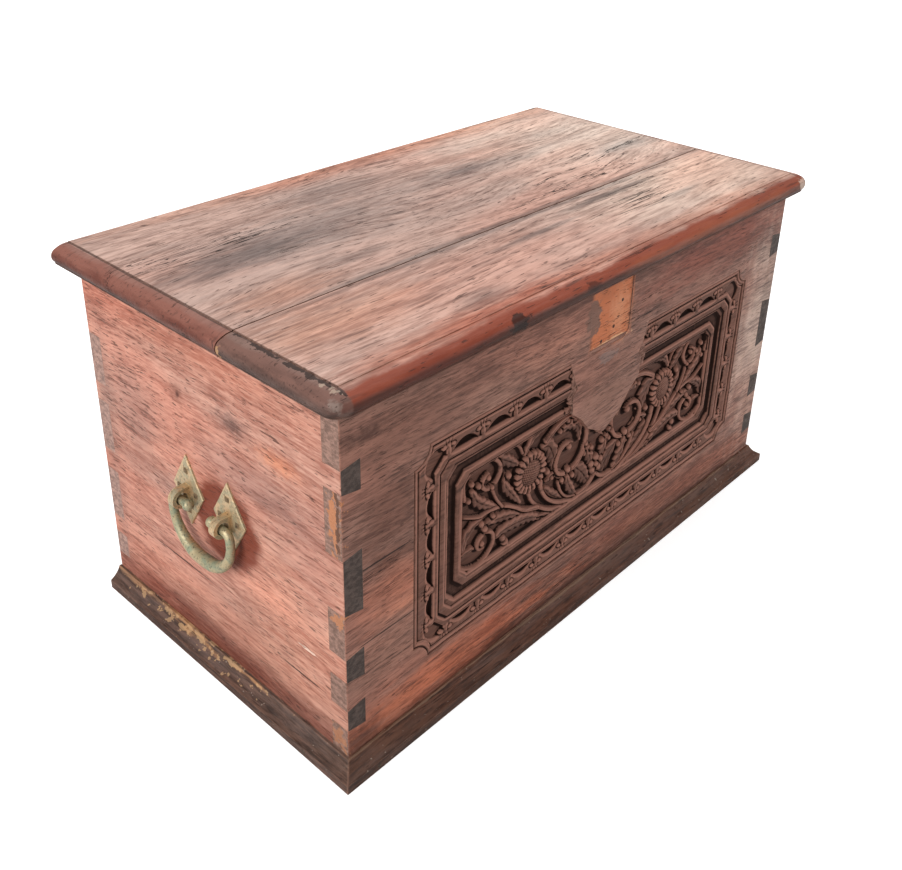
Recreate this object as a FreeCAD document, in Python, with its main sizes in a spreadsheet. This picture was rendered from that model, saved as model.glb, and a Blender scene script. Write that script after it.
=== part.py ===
import FreeCAD, Part
import math
import os

import Sketcher

# A small dovetailed hardwood chest with a carved front, a two-board lid on butt hinges,
# a mitred plinth and a swinging brass bail at each end.
# X runs along the chest, the front faces -Y, Z is up and the floor is z = 0.

# Driving sizes in millimetres: name, value, meaning
SIZES = (
    ("body_length", "640", "carcass over the end boards"),
    ("body_depth", "340", "carcass over the front and back boards"),
    ("carcass_height", "335", "front, back and end boards, foot to rim"),
    ("board_thickness", "19", "front and back boards"),
    ("end_thickness", "19", "end boards"),
    ("dovetail_flare", "3", "widening of a pin, each side, across the end board"),
    ("dovetail_gap", "0.1", "play between tails and pins"),
    ("corner_wear", "1.2", "rounding of the upright corners"),
    ("bottom_thickness", "12", "bottom boards"),
    ("bottom_lift", "2", "bottom boards above the floor"),
    ("bottom_inset", "1", "bottom boards inside the carcass faces"),
    ("bottom_gap", "0.8", "open joints of the bottom boards"),
    ("plinth_height", "21", "plinth strips"),
    ("plinth_projection", "13.5", "plinth beyond the carcass"),
    ("plinth_face", "9", "upright face of the plinth"),
    ("plinth_fillet", "2.4", "flat at the top of the plinth"),
    ("lid_thickness", "17.5", "lid boards"),
    ("lid_overhang", "17", "nosing beyond the carcass at the front and ends"),
    ("lid_back_overhang", "14", "lid beyond the back board"),
    ("lid_joint", "1.6", "open joint between the lid boards"),
    ("lid_front_width", "115", "front lid board inside the quirk"),
    ("quirk_step", "0.8", "step from the lid's flat down to its nosing"),
    ("nosing_fillet", "2.4", "upright fillet under the nosing"),
    ("nosing_fillet_set", "0.8", "nosing beyond its fillet"),
    ("nosing_tuck", "2", "foot of the nosing inside its nose"),
    ("nosing_shoulder_reach", "12", "shoulder of the nosing beyond the quirk"),
    ("nosing_shoulder_drop", "3.4", "shoulder of the nosing below the flat"),
    ("back_edge_wear", "1.5", "rounding of the lid's square back edge"),
    ("batten_width", "38", "lid battens"),
    ("batten_thickness", "13", "lid battens"),
    ("batten_inset", "42", "batten from the end board"),
    ("batten_clearance", "8", "batten ends from the front and back boards"),
    ("batten_bevel", "4", "bevel of the battens' lower arrises"),
    ("panel_length", "501", "carved panel"),
    ("panel_height", "213", "carved panel"),
    ("panel_foot", "52.4", "carved panel above the foot of the front board"),
    ("panel_shift", "3.5", "carved panel's centre towards the right"),
    ("panel_notch", "17", "radius of the notched panel corners"),
    ("panel_margin", "4.5", "outer fillet of the panel"),
    ("margin_depth", "1.4", "outer fillet below the face"),
    ("border_side", "25.5", "scalloped border at the panel's ends"),
    ("border_rail", "22", "scalloped border at the panel's head and foot"),
    ("border_depth", "4", "border ground below the face"),
    ("scallop_depth", "7", "scallop hollows below the face"),
    ("scallop_pitch", "40.5", "scallops along the head and foot"),
    ("scallop_shift", "-8", "scallop rows of the head and foot towards the right"),
    ("scallop_side_pitch", "34", "scallops up the sides"),
    ("scallop_side_shift", "-6", "scallop rows of the sides upwards"),
    ("scallop_length", "31", "one scallop hollow"),
    ("frame_clip", "10", "clipped corners of the inner frame"),
    ("frame_bead", "11", "outer flat of the inner frame"),
    ("frame_quirk_set", "3.2", "quirk inside the edge of the outer flat"),
    ("frame_quirk", "3", "quirk along the outer flat"),
    ("frame_quirk_depth", "2.4", "quirk below the face"),
    ("frame_hollow", "15", "sunk hollow of the inner frame"),
    ("frame_list", "7", "narrow inner member of the frame"),
    ("frame_top_depth", "0.8", "outer flat of the frame below the face"),
    ("hollow_depth", "5.5", "sunk hollow below the face"),
    ("list_depth", "3.2", "inner member below the face"),
    ("field_depth", "9", "sunk field below the face"),
    ("tongue_width", "121", "plain tongue where it leaves the head of the panel"),
    ("tongue_drop", "95", "plain tongue, head of the panel to its tip"),
    ("tongue_shift", "6", "plain tongue's centre towards the right"),
    ("scar_width", "61", "bare patch of the lost lock plate"),
    ("scar_drop", "72", "bare patch, rim to its foot"),
    ("scar_depth", "0.9", "bare patch below the face"),
    ("scar_shift", "2.5", "bare patch's centre towards the right"),
    ("scar_corner", "11", "rounded lower corner of the bare patch"),
    ("hinge_batten_gap", "5", "hinge leaves inside the battens"),
    ("hinge_width", "60", "hinge leaves"),
    ("hinge_leaf", "2", "hinge leaf thickness"),
    ("hinge_barrel", "4", "radius of the hinge barrel"),
    ("hinge_knuckle", "22", "middle knuckle"),
    ("hinge_play", "0.3", "running gap of the hinge"),
    ("hinge_pin_radius", "1.6", "hinge pin"),
    ("pin_play", "0.05", "hinge pin in its bore"),
    ("hinge_drop", "30", "body leaf below the pin"),
    ("hinge_reach", "44", "lid leaf in front of the pin"),
    ("handle_height", "165", "bail axis above the foot of the end boards"),
    ("handle_rise", "4.5", "plate centres above the bail axis"),
    ("handle_shift", "-1.5", "handle's centre towards the back"),
    ("eye_spacing", "58", "between the two eyes"),
    ("plate_width", "43", "rhombus plate"),
    ("plate_height", "72", "rhombus plate"),
    ("plate_thickness", "2.2", "rhombus plate"),
    ("plate_bevel", "0.7", "bevelled edge of the plate"),
    ("eye_width", "7", "cast eye along the bail axis"),
    ("eye_hole", "5.8", "radius of the eye's hole"),
    ("eye_wall", "3.6", "metal round the eye's hole"),
    ("bail_stand_off", "10.5", "bail axis from the end board"),
    ("bail_play", "0.3", "bail end above the foot of the eye's hole"),
    ("bail_end_radius", "3.9", "bail at its turned-in ends"),
    ("bail_radius", "6", "bail at its middle"),
    ("bail_width", "82", "bail between the centre lines of its arms"),
    ("bail_drop", "48", "bail axis to the centre line of its foot"),
    ("bail_bend", "7", "radius of the turned-in bends"),
    ("bail_round", "37", "radius of the bail's lower corners"),
    ("bail_tail", "7", "bail end past the middle of the eye"),
    ("nail_shank", "1.4", "half width of a nail under its head"),
    ("nail_tip", "0.5", "half width of a nail at its tip"),
    ("nail_head", "2.7", "half width of a nail head"),
    ("nail_head_rise", "1.3", "height of a nail head"),
    ("nail_proud", "0.4", "heads of nails punched into wood"),
    ("nail_length", "15", "plate and hinge nails"),
    ("long_nail_length", "26", "batten, bottom and plinth nails"),
    ("nail_hole_play", "0.15", "square nail holes in metal, each side of a shank"),
    ("overrun", "10", "cuts past the surfaces they leave"),
)

# Through pins of the end boards at the outer face, as shares of the carcass height
FRONT_PIN_SHARES = ((0.104, 0.166), (0.257, 0.324), (0.454, 0.609), (0.784, 0.846))
BACK_PIN_SHARES = ((0.0, 0.075), (0.152, 0.212), (0.376, 0.442), (0.600, 0.656), (0.805, 1.0))

# Half of the tongue's outline, head of the panel to tip: share of the half width, share of the drop
TONGUE_SHARES = (
    (1.00, 0.00),
    (0.87, 0.20),
    (0.78, 0.32),
    (0.88, 0.38),
    (0.86, 0.58),
    (0.62, 0.70),
    (0.42, 0.86),
    (0.18, 0.95),
    (0.00, 1.00),
)
SCALLOPS = 10
SIDE_SCALLOPS = 4
SCALLOP_BULGE_SHARE = 0.30
NOSE_BULGE_SHARE = 0.28
SHOULDER_BULGE_SHARE = 0.068
COVE_BULGE_SHARE = 0.10
QUARTER_BULGE_SHARE = (math.sqrt(2) - 1) / 2
NAIL_PLACE_SHARE = 0.56
LEAF_NAIL_SHARE = 0.7
NAIL_CROWN_SHARE = 0.55

# Stretches of the bail's quarter turns
BEND_STEPS = 2
CORNER_STEPS = 5

# Largest distance at which two places count as one
TOUCH = 1e-4

doc = FreeCAD.newDocument("chest")
sheet = doc.addObject("Spreadsheet::Sheet", "Sizes")


class Length:
    """A size in millimetres together with the sheet expression that gives it."""

    def __init__(self, value, text):
        self.value = float(value)
        self.text = text

    def _join(self, other, sign, swap=False):
        first, second = (as_length(other), self) if swap else (self, as_length(other))
        values = {
            "+": lambda a, b: a + b,
            "-": lambda a, b: a - b,
            "*": lambda a, b: a * b,
            "/": lambda a, b: a / b,
        }
        return Length(values[sign](first.value, second.value), f"({first.text} {sign} {second.text})")

    def __add__(self, other):
        return self._join(other, "+")

    def __radd__(self, other):
        return self._join(other, "+", True)

    def __sub__(self, other):
        return self._join(other, "-")

    def __rsub__(self, other):
        return self._join(other, "-", True)

    def __mul__(self, other):
        return self._join(other, "*")

    def __rmul__(self, other):
        return self._join(other, "*", True)

    def __truediv__(self, other):
        return self._join(other, "/")

    def __neg__(self):
        return Length(-self.value, f"(-1 * {self.text})")


def as_length(number):
    """Wraps a plain number, such as a count or a share, so that it can join an expression."""
    return number if isinstance(number, Length) else Length(number, f"{number:.6f}")


def distance(across, up):
    """Straight distance for two offsets at right angles."""
    text = f"sqrt({across.text} ^ 2 + {up.text} ^ 2)"
    return Length(math.hypot(across.value, up.value), text)


class Sizes:
    """The sheet's sizes as attributes."""


def fill_sheet():
    """Writes the driving sizes into the sheet and returns them as lengths."""
    sizes = Sizes()
    for row, (name, value, meaning) in enumerate(SIZES, start=1):
        sheet.set(f"A{row}", meaning)
        sheet.set(f"B{row}", value)
        sheet.setAlias(f"B{row}", name)
        setattr(sizes, name, Length(value, f"Sizes.{name}"))
    doc.recompute()
    return sizes


s = fill_sheet()
ZERO = Length(0, "0")

# Levels and faces that several pieces share
carcass_foot = s.bottom_lift + s.bottom_thickness
rim = carcass_foot + s.carcass_height
half_length = s.body_length / 2
front_face = (s.lid_overhang - s.body_depth - s.lid_back_overhang) / 2
back_face = front_face + s.body_depth
hinge_axis_y = back_face + s.hinge_barrel + s.hinge_play
hinge_axis_z = rim + s.hinge_leaf - s.hinge_play - s.hinge_barrel
handle_y = s.handle_shift + (front_face + back_face) / 2
handle_z = carcass_foot + s.handle_height
hinge_x = half_length - s.end_thickness - s.batten_inset - s.batten_width - s.hinge_batten_gap - s.hinge_width / 2
nail_hole = s.nail_shank + s.nail_hole_play


def new_body(label, x=ZERO, y=ZERO, z=ZERO):
    """A body whose own origin stands at the given place."""
    body = doc.addObject("PartDesign::Body", label)
    body.Label = label
    for axis, length in zip("xyz", (x, y, z)):
        body.setExpression(f"Placement.Base.{axis}", length.text)
    return body


def origin_plane(body, role):
    """One of the body's own origin planes, found by its role."""
    return next(f for f in body.Origin.OriginFeatures if f.Role == role)


def arc_between(start, end, bulge):
    """Arc from start to end whose rise is a share of its chord; a negative share turns clockwise."""
    chord = end - start
    width = chord.Length
    rise = abs(bulge) * width
    radius = width * width / (8 * rise) + rise / 2
    left = FreeCAD.Vector(-chord.y, chord.x, 0).normalize()
    side = 1 if bulge > 0 else -1
    centre = (start + end) * 0.5 + left * (side * (radius - rise))
    first, last = (start, end) if bulge > 0 else (end, start)
    angle_a = math.atan2(first.y - centre.y, first.x - centre.x)
    angle_b = math.atan2(last.y - centre.y, last.x - centre.x)
    if angle_b < angle_a:
        angle_b += 2 * math.pi
    circle = Part.Circle(centre, FreeCAD.Vector(0, 0, 1), radius)
    return Part.ArcOfCircle(circle, angle_a, angle_b)


def pin_point(sketch, geometry, end, across, up):
    """Ties one end of an edge to its two sheet expressions."""
    for kind, length, axis in (("DistanceX", across, -2), ("DistanceY", up, -1)):
        if length is ZERO:
            sketch.addConstraint(Sketcher.Constraint("PointOnObject", geometry, end, axis))
            continue
        index = sketch.addConstraint(Sketcher.Constraint(kind, -1, 1, geometry, end, length.value))
        sketch.setExpression(f"Constraints[{index}]", length.text)


def draw_wire(sketch, corners, closed=True):
    """Adds a wire; a corner is (across, up) or (across, up, bulge share of the edge that follows)."""
    points = [FreeCAD.Vector(c[0].value, c[1].value, 0) for c in corners]
    edges = []
    count = len(corners) if closed else len(corners) - 1
    for i in range(count):
        corner, start, end = corners[i], points[i], points[(i + 1) % len(points)]
        bulge = corner[2] if len(corner) > 2 else 0
        if bulge:
            edge = sketch.addGeometry(arc_between(start, end, bulge), False)
            first, last = (1, 2) if bulge > 0 else (2, 1)
        else:
            edge = sketch.addGeometry(Part.LineSegment(start, end), False)
            first, last = 1, 2
        edges.append((edge, first, last, bulge))
    for i, (edge, first, last, bulge) in enumerate(edges):
        corner, following = corners[i], corners[(i + 1) % len(corners)]
        pin_point(sketch, edge, first, corner[0], corner[1])
        if closed or i + 1 < count:
            after = edges[(i + 1) % count]
            sketch.addConstraint(Sketcher.Constraint("Coincident", edge, last, after[0], after[1]))
        else:
            pin_point(sketch, edge, last, following[0], following[1])
        if bulge:
            chord = distance(following[0] - corner[0], following[1] - corner[1])
            radius = chord * (1 / (8 * abs(bulge)) + abs(bulge) / 2)
            index = sketch.addConstraint(Sketcher.Constraint("Radius", edge, radius.value))
            sketch.setExpression(f"Constraints[{index}]", radius.text)


def draw_circle(sketch, across, up, radius):
    """Adds a full circle."""
    centre = FreeCAD.Vector(across.value, up.value, 0)
    circle = sketch.addGeometry(Part.Circle(centre, FreeCAD.Vector(0, 0, 1), radius.value), False)
    pin_point(sketch, circle, 3, across, up)
    index = sketch.addConstraint(Sketcher.Constraint("Radius", circle, radius.value))
    sketch.setExpression(f"Constraints[{index}]", radius.text)


def new_sketch(body, role, wires=(), circles=(), offset=ZERO, shift=(ZERO, ZERO)):
    """A sketch on an origin plane, moved along the plane's normal and within the plane."""
    sketch = body.newObject("Sketcher::SketchObject", f"{body.Name}_sketch")
    sketch.AttachmentSupport = (origin_plane(body, role), [""])
    sketch.MapMode = "FlatFace"
    for axis, length in zip("xyz", (shift[0], shift[1], offset)):
        if length is not ZERO:
            sketch.setExpression(f"AttachmentOffset.Base.{axis}", length.text)
    for corners in wires:
        draw_wire(sketch, corners)
    for across, up, radius in circles:
        draw_circle(sketch, across, up, radius)
    return sketch


def pad(body, sketch, length, reverse=False, centred=False):
    """Adds material along the sketch's normal."""
    feature = body.newObject("PartDesign::Pad", f"{body.Name}_pad")
    feature.Profile = sketch
    feature.setExpression("Length", length.text)
    feature.Midplane = centred
    feature.Reversed = reverse
    return feature


def pocket(body, sketch, length, reverse=False, centred=False):
    """Cuts against the sketch's normal."""
    feature = body.newObject("PartDesign::Pocket", f"{body.Name}_pocket")
    feature.Profile = sketch
    feature.setExpression("Length", length.text)
    feature.Midplane = centred
    feature.Reversed = reverse
    return feature


def round_edges(body, kind, size, chosen):
    """Fillets or chamfers the edges of the body for which chosen(edge) is true."""
    doc.recompute()
    base = body.Tip
    names = [f"Edge{i}" for i, edge in enumerate(base.Shape.Edges, start=1) if chosen(edge)]
    if not names:
        raise RuntimeError(f"{body.Label}: no edge to work")
    feature = body.newObject(f"PartDesign::{kind}", f"{body.Name}_{kind.lower()}")
    feature.Base = (base, names)
    feature.setExpression("Radius" if kind == "Fillet" else "Size", size.text)
    return feature


def edge_at(edge, **levels):
    """True for a straight edge whose two ends lie at the given x, y or z in the body's own space."""
    if len(edge.Vertexes) != 2:
        return False
    ends = [v.Point for v in edge.Vertexes]
    return all(abs(getattr(p, axis) - level.value) < TOUCH for p in ends for axis, level in levels.items())


def rectangle(left, foot, right, head):
    """Four corners of an upright rectangle."""
    return [(left, foot), (right, foot), (right, head), (left, head)]


def nail_holes(places):
    """Square holes for nails at the given places of a sketch."""
    return [rectangle(a - nail_hole, b - nail_hole, a + nail_hole, b + nail_hole) for a, b in places]


def tail_corners(pins, side):
    """One dovetailed end of a tail board from foot to rim, with play round each pin."""
    end = half_length * side
    shoulder = (half_length - s.end_thickness - s.dovetail_gap) * side
    corners = []
    if pins[0][0] > 0:
        corners.append((end, ZERO))
    for low_share, high_share in pins:
        low = s.carcass_height * low_share - s.dovetail_gap
        high = s.carcass_height * high_share + s.dovetail_gap
        if low_share > 0:
            corners += [(end, low), (shoulder, low - s.dovetail_flare)]
        else:
            corners.append((shoulder, ZERO))
        if high_share < 1:
            corners += [(shoulder, high + s.dovetail_flare), (end, high)]
        else:
            corners.append((shoulder, s.carcass_height))
    if pins[-1][1] < 1:
        corners.append((end, s.carcass_height))
    return corners


def tail_board(label, pins, y, inward):
    """Front or back board: through dovetail tails at both ends, outer face at the body's own origin."""
    body = new_body(label, ZERO, y, carcass_foot)
    outline = tail_corners(pins, 1) + tail_corners(pins, -1)[::-1]
    sketch = new_sketch(body, "XZ_Plane", [outline])
    pad(body, sketch, s.board_thickness, reverse=inward)
    round_edges(
        body,
        "Fillet",
        s.corner_wear,
        lambda e: edge_at(e, x=half_length, y=ZERO) or edge_at(e, x=-half_length, y=ZERO),
    )
    return body


def socket_wires(pins, side):
    """The sockets between the pins of an end board, as drawn on the front or back face."""
    inner = s.end_thickness * -side
    foot, head = -s.overrun, s.carcass_height + s.overrun
    edges = [foot] + [s.carcass_height * share for pin in pins for share in pin] + [head]
    shares = [0] + [share for pin in pins for share in pin] + [1]
    wires = []
    for i in range(0, len(edges), 2):
        low, high = edges[i], edges[i + 1]
        if i > 0 and shares[i] >= 1 or i + 2 < len(edges) and shares[i + 1] <= 0:
            continue
        inner_low = low if i == 0 else low + s.dovetail_flare
        inner_high = high if i + 2 == len(edges) else high - s.dovetail_flare
        wires.append([(ZERO, low), (inner, inner_low), (inner, inner_high), (ZERO, high)])
    return wires


def end_board(label, side):
    """Left or right end board: pins at both edges, outer face at the body's own origin."""
    body = new_body(label, half_length * side, front_face, carcass_foot)
    face = rectangle(ZERO, ZERO, s.body_depth, s.carcass_height)
    pad(body, new_sketch(body, "YZ_Plane", [face]), s.end_thickness, reverse=side > 0)
    depth = s.board_thickness + s.dovetail_gap
    pocket(body, new_sketch(body, "XZ_Plane", socket_wires(FRONT_PIN_SHARES, side)), depth)
    back = new_sketch(body, "XZ_Plane", socket_wires(BACK_PIN_SHARES, side), offset=-s.body_depth)
    pocket(body, back, depth, reverse=True)
    round_edges(
        body,
        "Fillet",
        s.corner_wear,
        lambda e: edge_at(e, x=ZERO, y=ZERO) or edge_at(e, x=ZERO, y=s.body_depth),
    )
    return body


def panel_box(side_inset, rail_inset):
    """Left, foot, right and head of the carved panel after an inset."""
    left = s.panel_shift - s.panel_length / 2 + side_inset
    right = s.panel_shift + s.panel_length / 2 - side_inset
    foot = s.panel_foot + rail_inset
    head = s.panel_foot + s.panel_height - rail_inset
    return left, foot, right, head


def notched(inset):
    """Panel outline whose corners are bitten out by quarter rounds."""
    left, foot, right, head = panel_box(inset, inset)
    r, bulge = s.panel_notch, -QUARTER_BULGE_SHARE
    return [
        (left + r, foot),
        (right - r, foot, bulge),
        (right, foot + r),
        (right, head - r, bulge),
        (right - r, head),
        (left + r, head, bulge),
        (left, head - r),
        (left, foot + r, bulge),
    ]


def clipped(inset):
    """Outline of a frame member whose corners are clipped at 45 degrees, inset from the border."""
    left, foot, right, head = panel_box(s.border_side + inset, s.border_rail + inset)
    c = s.frame_clip
    return [
        (left + c, foot),
        (right - c, foot),
        (right, foot + c),
        (right, head - c),
        (right - c, head),
        (left + c, head),
        (left, head - c),
        (left, foot + c),
    ]


def scallop(across, up, turn):
    """A half-moon hollow whose flat side is centred at the given place; turn is its rising direction."""
    half, bulge = s.scallop_length / 2, SCALLOP_BULGE_SHARE
    if turn in ("up", "down"):
        sign = 1 if turn == "up" else -1
        return [(across - half * sign, up), (across + half * sign, up, bulge)]
    sign = 1 if turn == "right" else -1
    return [(across, up + half * sign), (across, up - half * sign, bulge)]


def scallop_row(body, first, direction, count, pitch):
    """Cuts one hollow and repeats it along X or Z."""
    cut = pocket(body, new_sketch(body, "XZ_Plane", [first]), s.scallop_depth)
    doc.recompute()
    row = body.newObject("PartDesign::LinearPattern", f"{body.Name}_row")
    row.Originals = [cut]
    row.Direction = (cut.Profile[0], [direction])
    row.setExpression("Length", (pitch * (count - 1)).text)
    row.Occurrences = count
    body.Tip = row
    doc.recompute()


def carve_front(body):
    """Sinks the scalloped border, the moulded frame and the field, and leaves the plain tongue."""
    quirk = s.frame_quirk_set
    bead = s.frame_bead
    hollow = s.frame_bead + s.frame_hollow
    inner = hollow + s.frame_list
    levels = (
        ([notched(ZERO), notched(s.panel_margin)], s.margin_depth),
        ([notched(s.panel_margin), clipped(ZERO)], s.border_depth),
        ([clipped(ZERO)], s.frame_top_depth),
        ([clipped(quirk), clipped(quirk + s.frame_quirk)], s.frame_quirk_depth),
        ([clipped(bead)], s.list_depth),
        ([clipped(bead), clipped(hollow)], s.hollow_depth),
        ([clipped(inner)], s.field_depth),
    )
    for wires, depth in levels:
        pocket(body, new_sketch(body, "XZ_Plane", wires), depth)
    left, foot, right, head = panel_box(s.border_side, s.border_rail)
    start = s.panel_shift + s.scallop_shift - s.scallop_pitch * (SCALLOPS - 1) / 2
    scallop_row(body, scallop(start, foot, "down"), "H_Axis", SCALLOPS, s.scallop_pitch)
    scallop_row(body, scallop(start, head, "up"), "H_Axis", SCALLOPS, s.scallop_pitch)
    middle = s.panel_foot + s.panel_height / 2 + s.scallop_side_shift
    start = middle - s.scallop_side_pitch * (SIDE_SCALLOPS - 1) / 2
    scallop_row(body, scallop(left, start, "left"), "V_Axis", SIDE_SCALLOPS, s.scallop_side_pitch)
    scallop_row(body, scallop(right, start, "right"), "V_Axis", SIDE_SCALLOPS, s.scallop_side_pitch)
    leave_tongue(body)
    cut_scar(body)


def leave_tongue(body):
    """The uncarved tongue that hangs from the head of the panel, flush with the face."""
    head = s.panel_foot + s.panel_height
    half = s.tongue_width / 2
    left = [(s.tongue_shift - half * a, head - s.tongue_drop * d) for a, d in TONGUE_SHARES]
    right = [(s.tongue_shift + half * a, head - s.tongue_drop * d) for a, d in TONGUE_SHARES[-2::-1]]
    pad(body, new_sketch(body, "XZ_Plane", [left + right]), s.field_depth + s.scar_depth, reverse=True)


def cut_scar(body):
    """The shallow bare patch where the lock plate sat."""
    left, right = s.scar_shift - s.scar_width / 2, s.scar_shift + s.scar_width / 2
    head, foot, corner = s.carcass_height, s.carcass_height - s.scar_drop, s.scar_corner
    wire = [
        (left, head),
        (left, foot),
        (right - corner, foot, QUARTER_BULGE_SHARE),
        (right, foot + corner),
        (right, head),
    ]
    pocket(body, new_sketch(body, "XZ_Plane", [wire]), s.scar_depth)


def bottom_boards():
    """Three lengthwise boards nailed up under the carcass."""
    width = (s.body_depth - s.bottom_inset * 2 - s.bottom_gap * 2) / 3
    reach = half_length - s.bottom_inset
    for i, label in enumerate(("bottom_board_front", "bottom_board_middle", "bottom_board_rear")):
        near = front_face + s.bottom_inset + (width + s.bottom_gap) * i
        body = new_body(label, ZERO, near, s.bottom_lift)
        face = rectangle(-reach, ZERO, reach, width)
        pad(body, new_sketch(body, "XY_Plane", [face]), s.bottom_thickness)


def plinth_profile(out):
    """Section of the plinth: upright face, worn cove and a narrow flat against the carcass."""
    return [
        (ZERO, ZERO),
        (s.plinth_projection * out, ZERO),
        (s.plinth_projection * out, s.plinth_face, COVE_BULGE_SHARE * -out),
        (s.plinth_fillet * out, s.plinth_height),
        (ZERO, s.plinth_height),
    ]


def plinth():
    """Front strip mitred at both ends and side strips mitred at the front, cut square at the back."""
    reach = s.plinth_projection
    front = new_body("plinth_front", ZERO, front_face, ZERO)
    length = s.body_length + reach * 2
    pad(front, new_sketch(front, "YZ_Plane", [plinth_profile(-1)]), length, centred=True)
    corners = [
        [(half_length * k, ZERO), ((half_length + reach) * k, -reach), ((half_length + reach) * k, ZERO)]
        for k in (-1, 1)
    ]
    pocket(front, new_sketch(front, "XY_Plane", corners), s.plinth_height + s.overrun, reverse=True)
    for label, side in (("plinth_left", -1), ("plinth_right", 1)):
        body = new_body(label, half_length * side, front_face, ZERO)
        sketch = new_sketch(body, "XZ_Plane", [plinth_profile(side)], offset=reach)
        pad(body, sketch, s.body_depth + reach, reverse=True)
        mitre = [(ZERO, ZERO), (ZERO, -reach), (reach * side, -reach)]
        pocket(body, new_sketch(body, "XY_Plane", [mitre]), s.plinth_height + s.overrun, reverse=True)


def nosing_profile(out):
    """Section of the lid's edge from the quirk outwards: shoulder, nose, small fillet and underside."""
    foot = s.lid_overhang - s.nosing_tuck
    top = s.lid_thickness - s.quirk_step
    shoulder_up = s.lid_thickness - s.nosing_shoulder_drop
    fillet = foot - s.nosing_fillet_set
    return [
        (ZERO, ZERO),
        (fillet * out, ZERO),
        (fillet * out, s.nosing_fillet),
        (foot * out, s.nosing_fillet, NOSE_BULGE_SHARE * out),
        (s.nosing_shoulder_reach * out, shoulder_up, SHOULDER_BULGE_SHARE * out),
        (ZERO, top),
    ]


def lid_ends(body, near, far):
    """Nosings along both ends of a lid board, between two distances from the body's own origin."""
    for side in (-1, 1):
        shift = (half_length * side, ZERO)
        sketch = new_sketch(body, "XZ_Plane", [nosing_profile(side)], offset=-near, shift=shift)
        pad(body, sketch, far - near, reverse=True)


def lid_front():
    """Front lid board with its nosing carried round both corners."""
    body = new_body("lid_front_board", ZERO, front_face, rim)
    face = rectangle(-half_length, ZERO, half_length, s.lid_front_width)
    pad(body, new_sketch(body, "XY_Plane", [face]), s.lid_thickness)
    pad(body, new_sketch(body, "YZ_Plane", [nosing_profile(-1)]), s.body_length, centred=True)
    lid_ends(body, ZERO, s.lid_front_width)
    for side in (-1, 1):
        shift = (half_length * side, ZERO)
        sketch = new_sketch(body, "XZ_Plane", [nosing_profile(side)], shift=shift)
        corner = body.newObject("PartDesign::Revolution", "lid_corner")
        corner.Profile = sketch
        corner.ReferenceAxis = (sketch, ["V_Axis"])
        corner.Angle = 90
        corner.Reversed = side > 0
    return body


def lid_rear():
    """Rear lid board with a square back edge and a seat for each hinge leaf."""
    near = s.lid_front_width + s.lid_joint
    far = s.body_depth + s.lid_back_overhang
    body = new_body("lid_rear_board", ZERO, front_face, rim)
    face = rectangle(-half_length, near, half_length, far)
    pad(body, new_sketch(body, "XY_Plane", [face]), s.lid_thickness)
    lid_ends(body, near, far)
    axis_y = hinge_axis_y - front_face
    seats = [
        rectangle(
            hinge_x * k - s.hinge_width / 2 - s.hinge_play,
            axis_y - s.hinge_reach - s.hinge_play,
            hinge_x * k + s.hinge_width / 2 + s.hinge_play,
            axis_y + s.hinge_barrel + s.hinge_play * 2,
        )
        for k in (-1, 1)
    ]
    pocket(body, new_sketch(body, "XY_Plane", seats), s.hinge_leaf, reverse=True)
    round_edges(
        body,
        "Fillet",
        s.back_edge_wear,
        lambda e: edge_at(e, y=far, z=s.lid_thickness) and e.Length > s.body_length.value / 2,
    )
    return body


def lid_battens():
    """Two cross battens under the lid, clear of the carcass all round."""
    reach = s.board_thickness + s.batten_clearance
    length = s.body_depth - reach * 2
    for label, side in (("lid_batten_left", -1), ("lid_batten_right", 1)):
        middle = (half_length - s.end_thickness - s.batten_inset - s.batten_width / 2) * side
        body = new_body(label, middle, front_face + reach, rim - s.batten_thickness)
        half = s.batten_width / 2
        face = rectangle(-half, ZERO, half, length)
        pad(body, new_sketch(body, "XY_Plane", [face]), s.batten_thickness)
        round_edges(body, "Chamfer", s.batten_bevel, lambda e: edge_at(e, z=ZERO))


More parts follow.
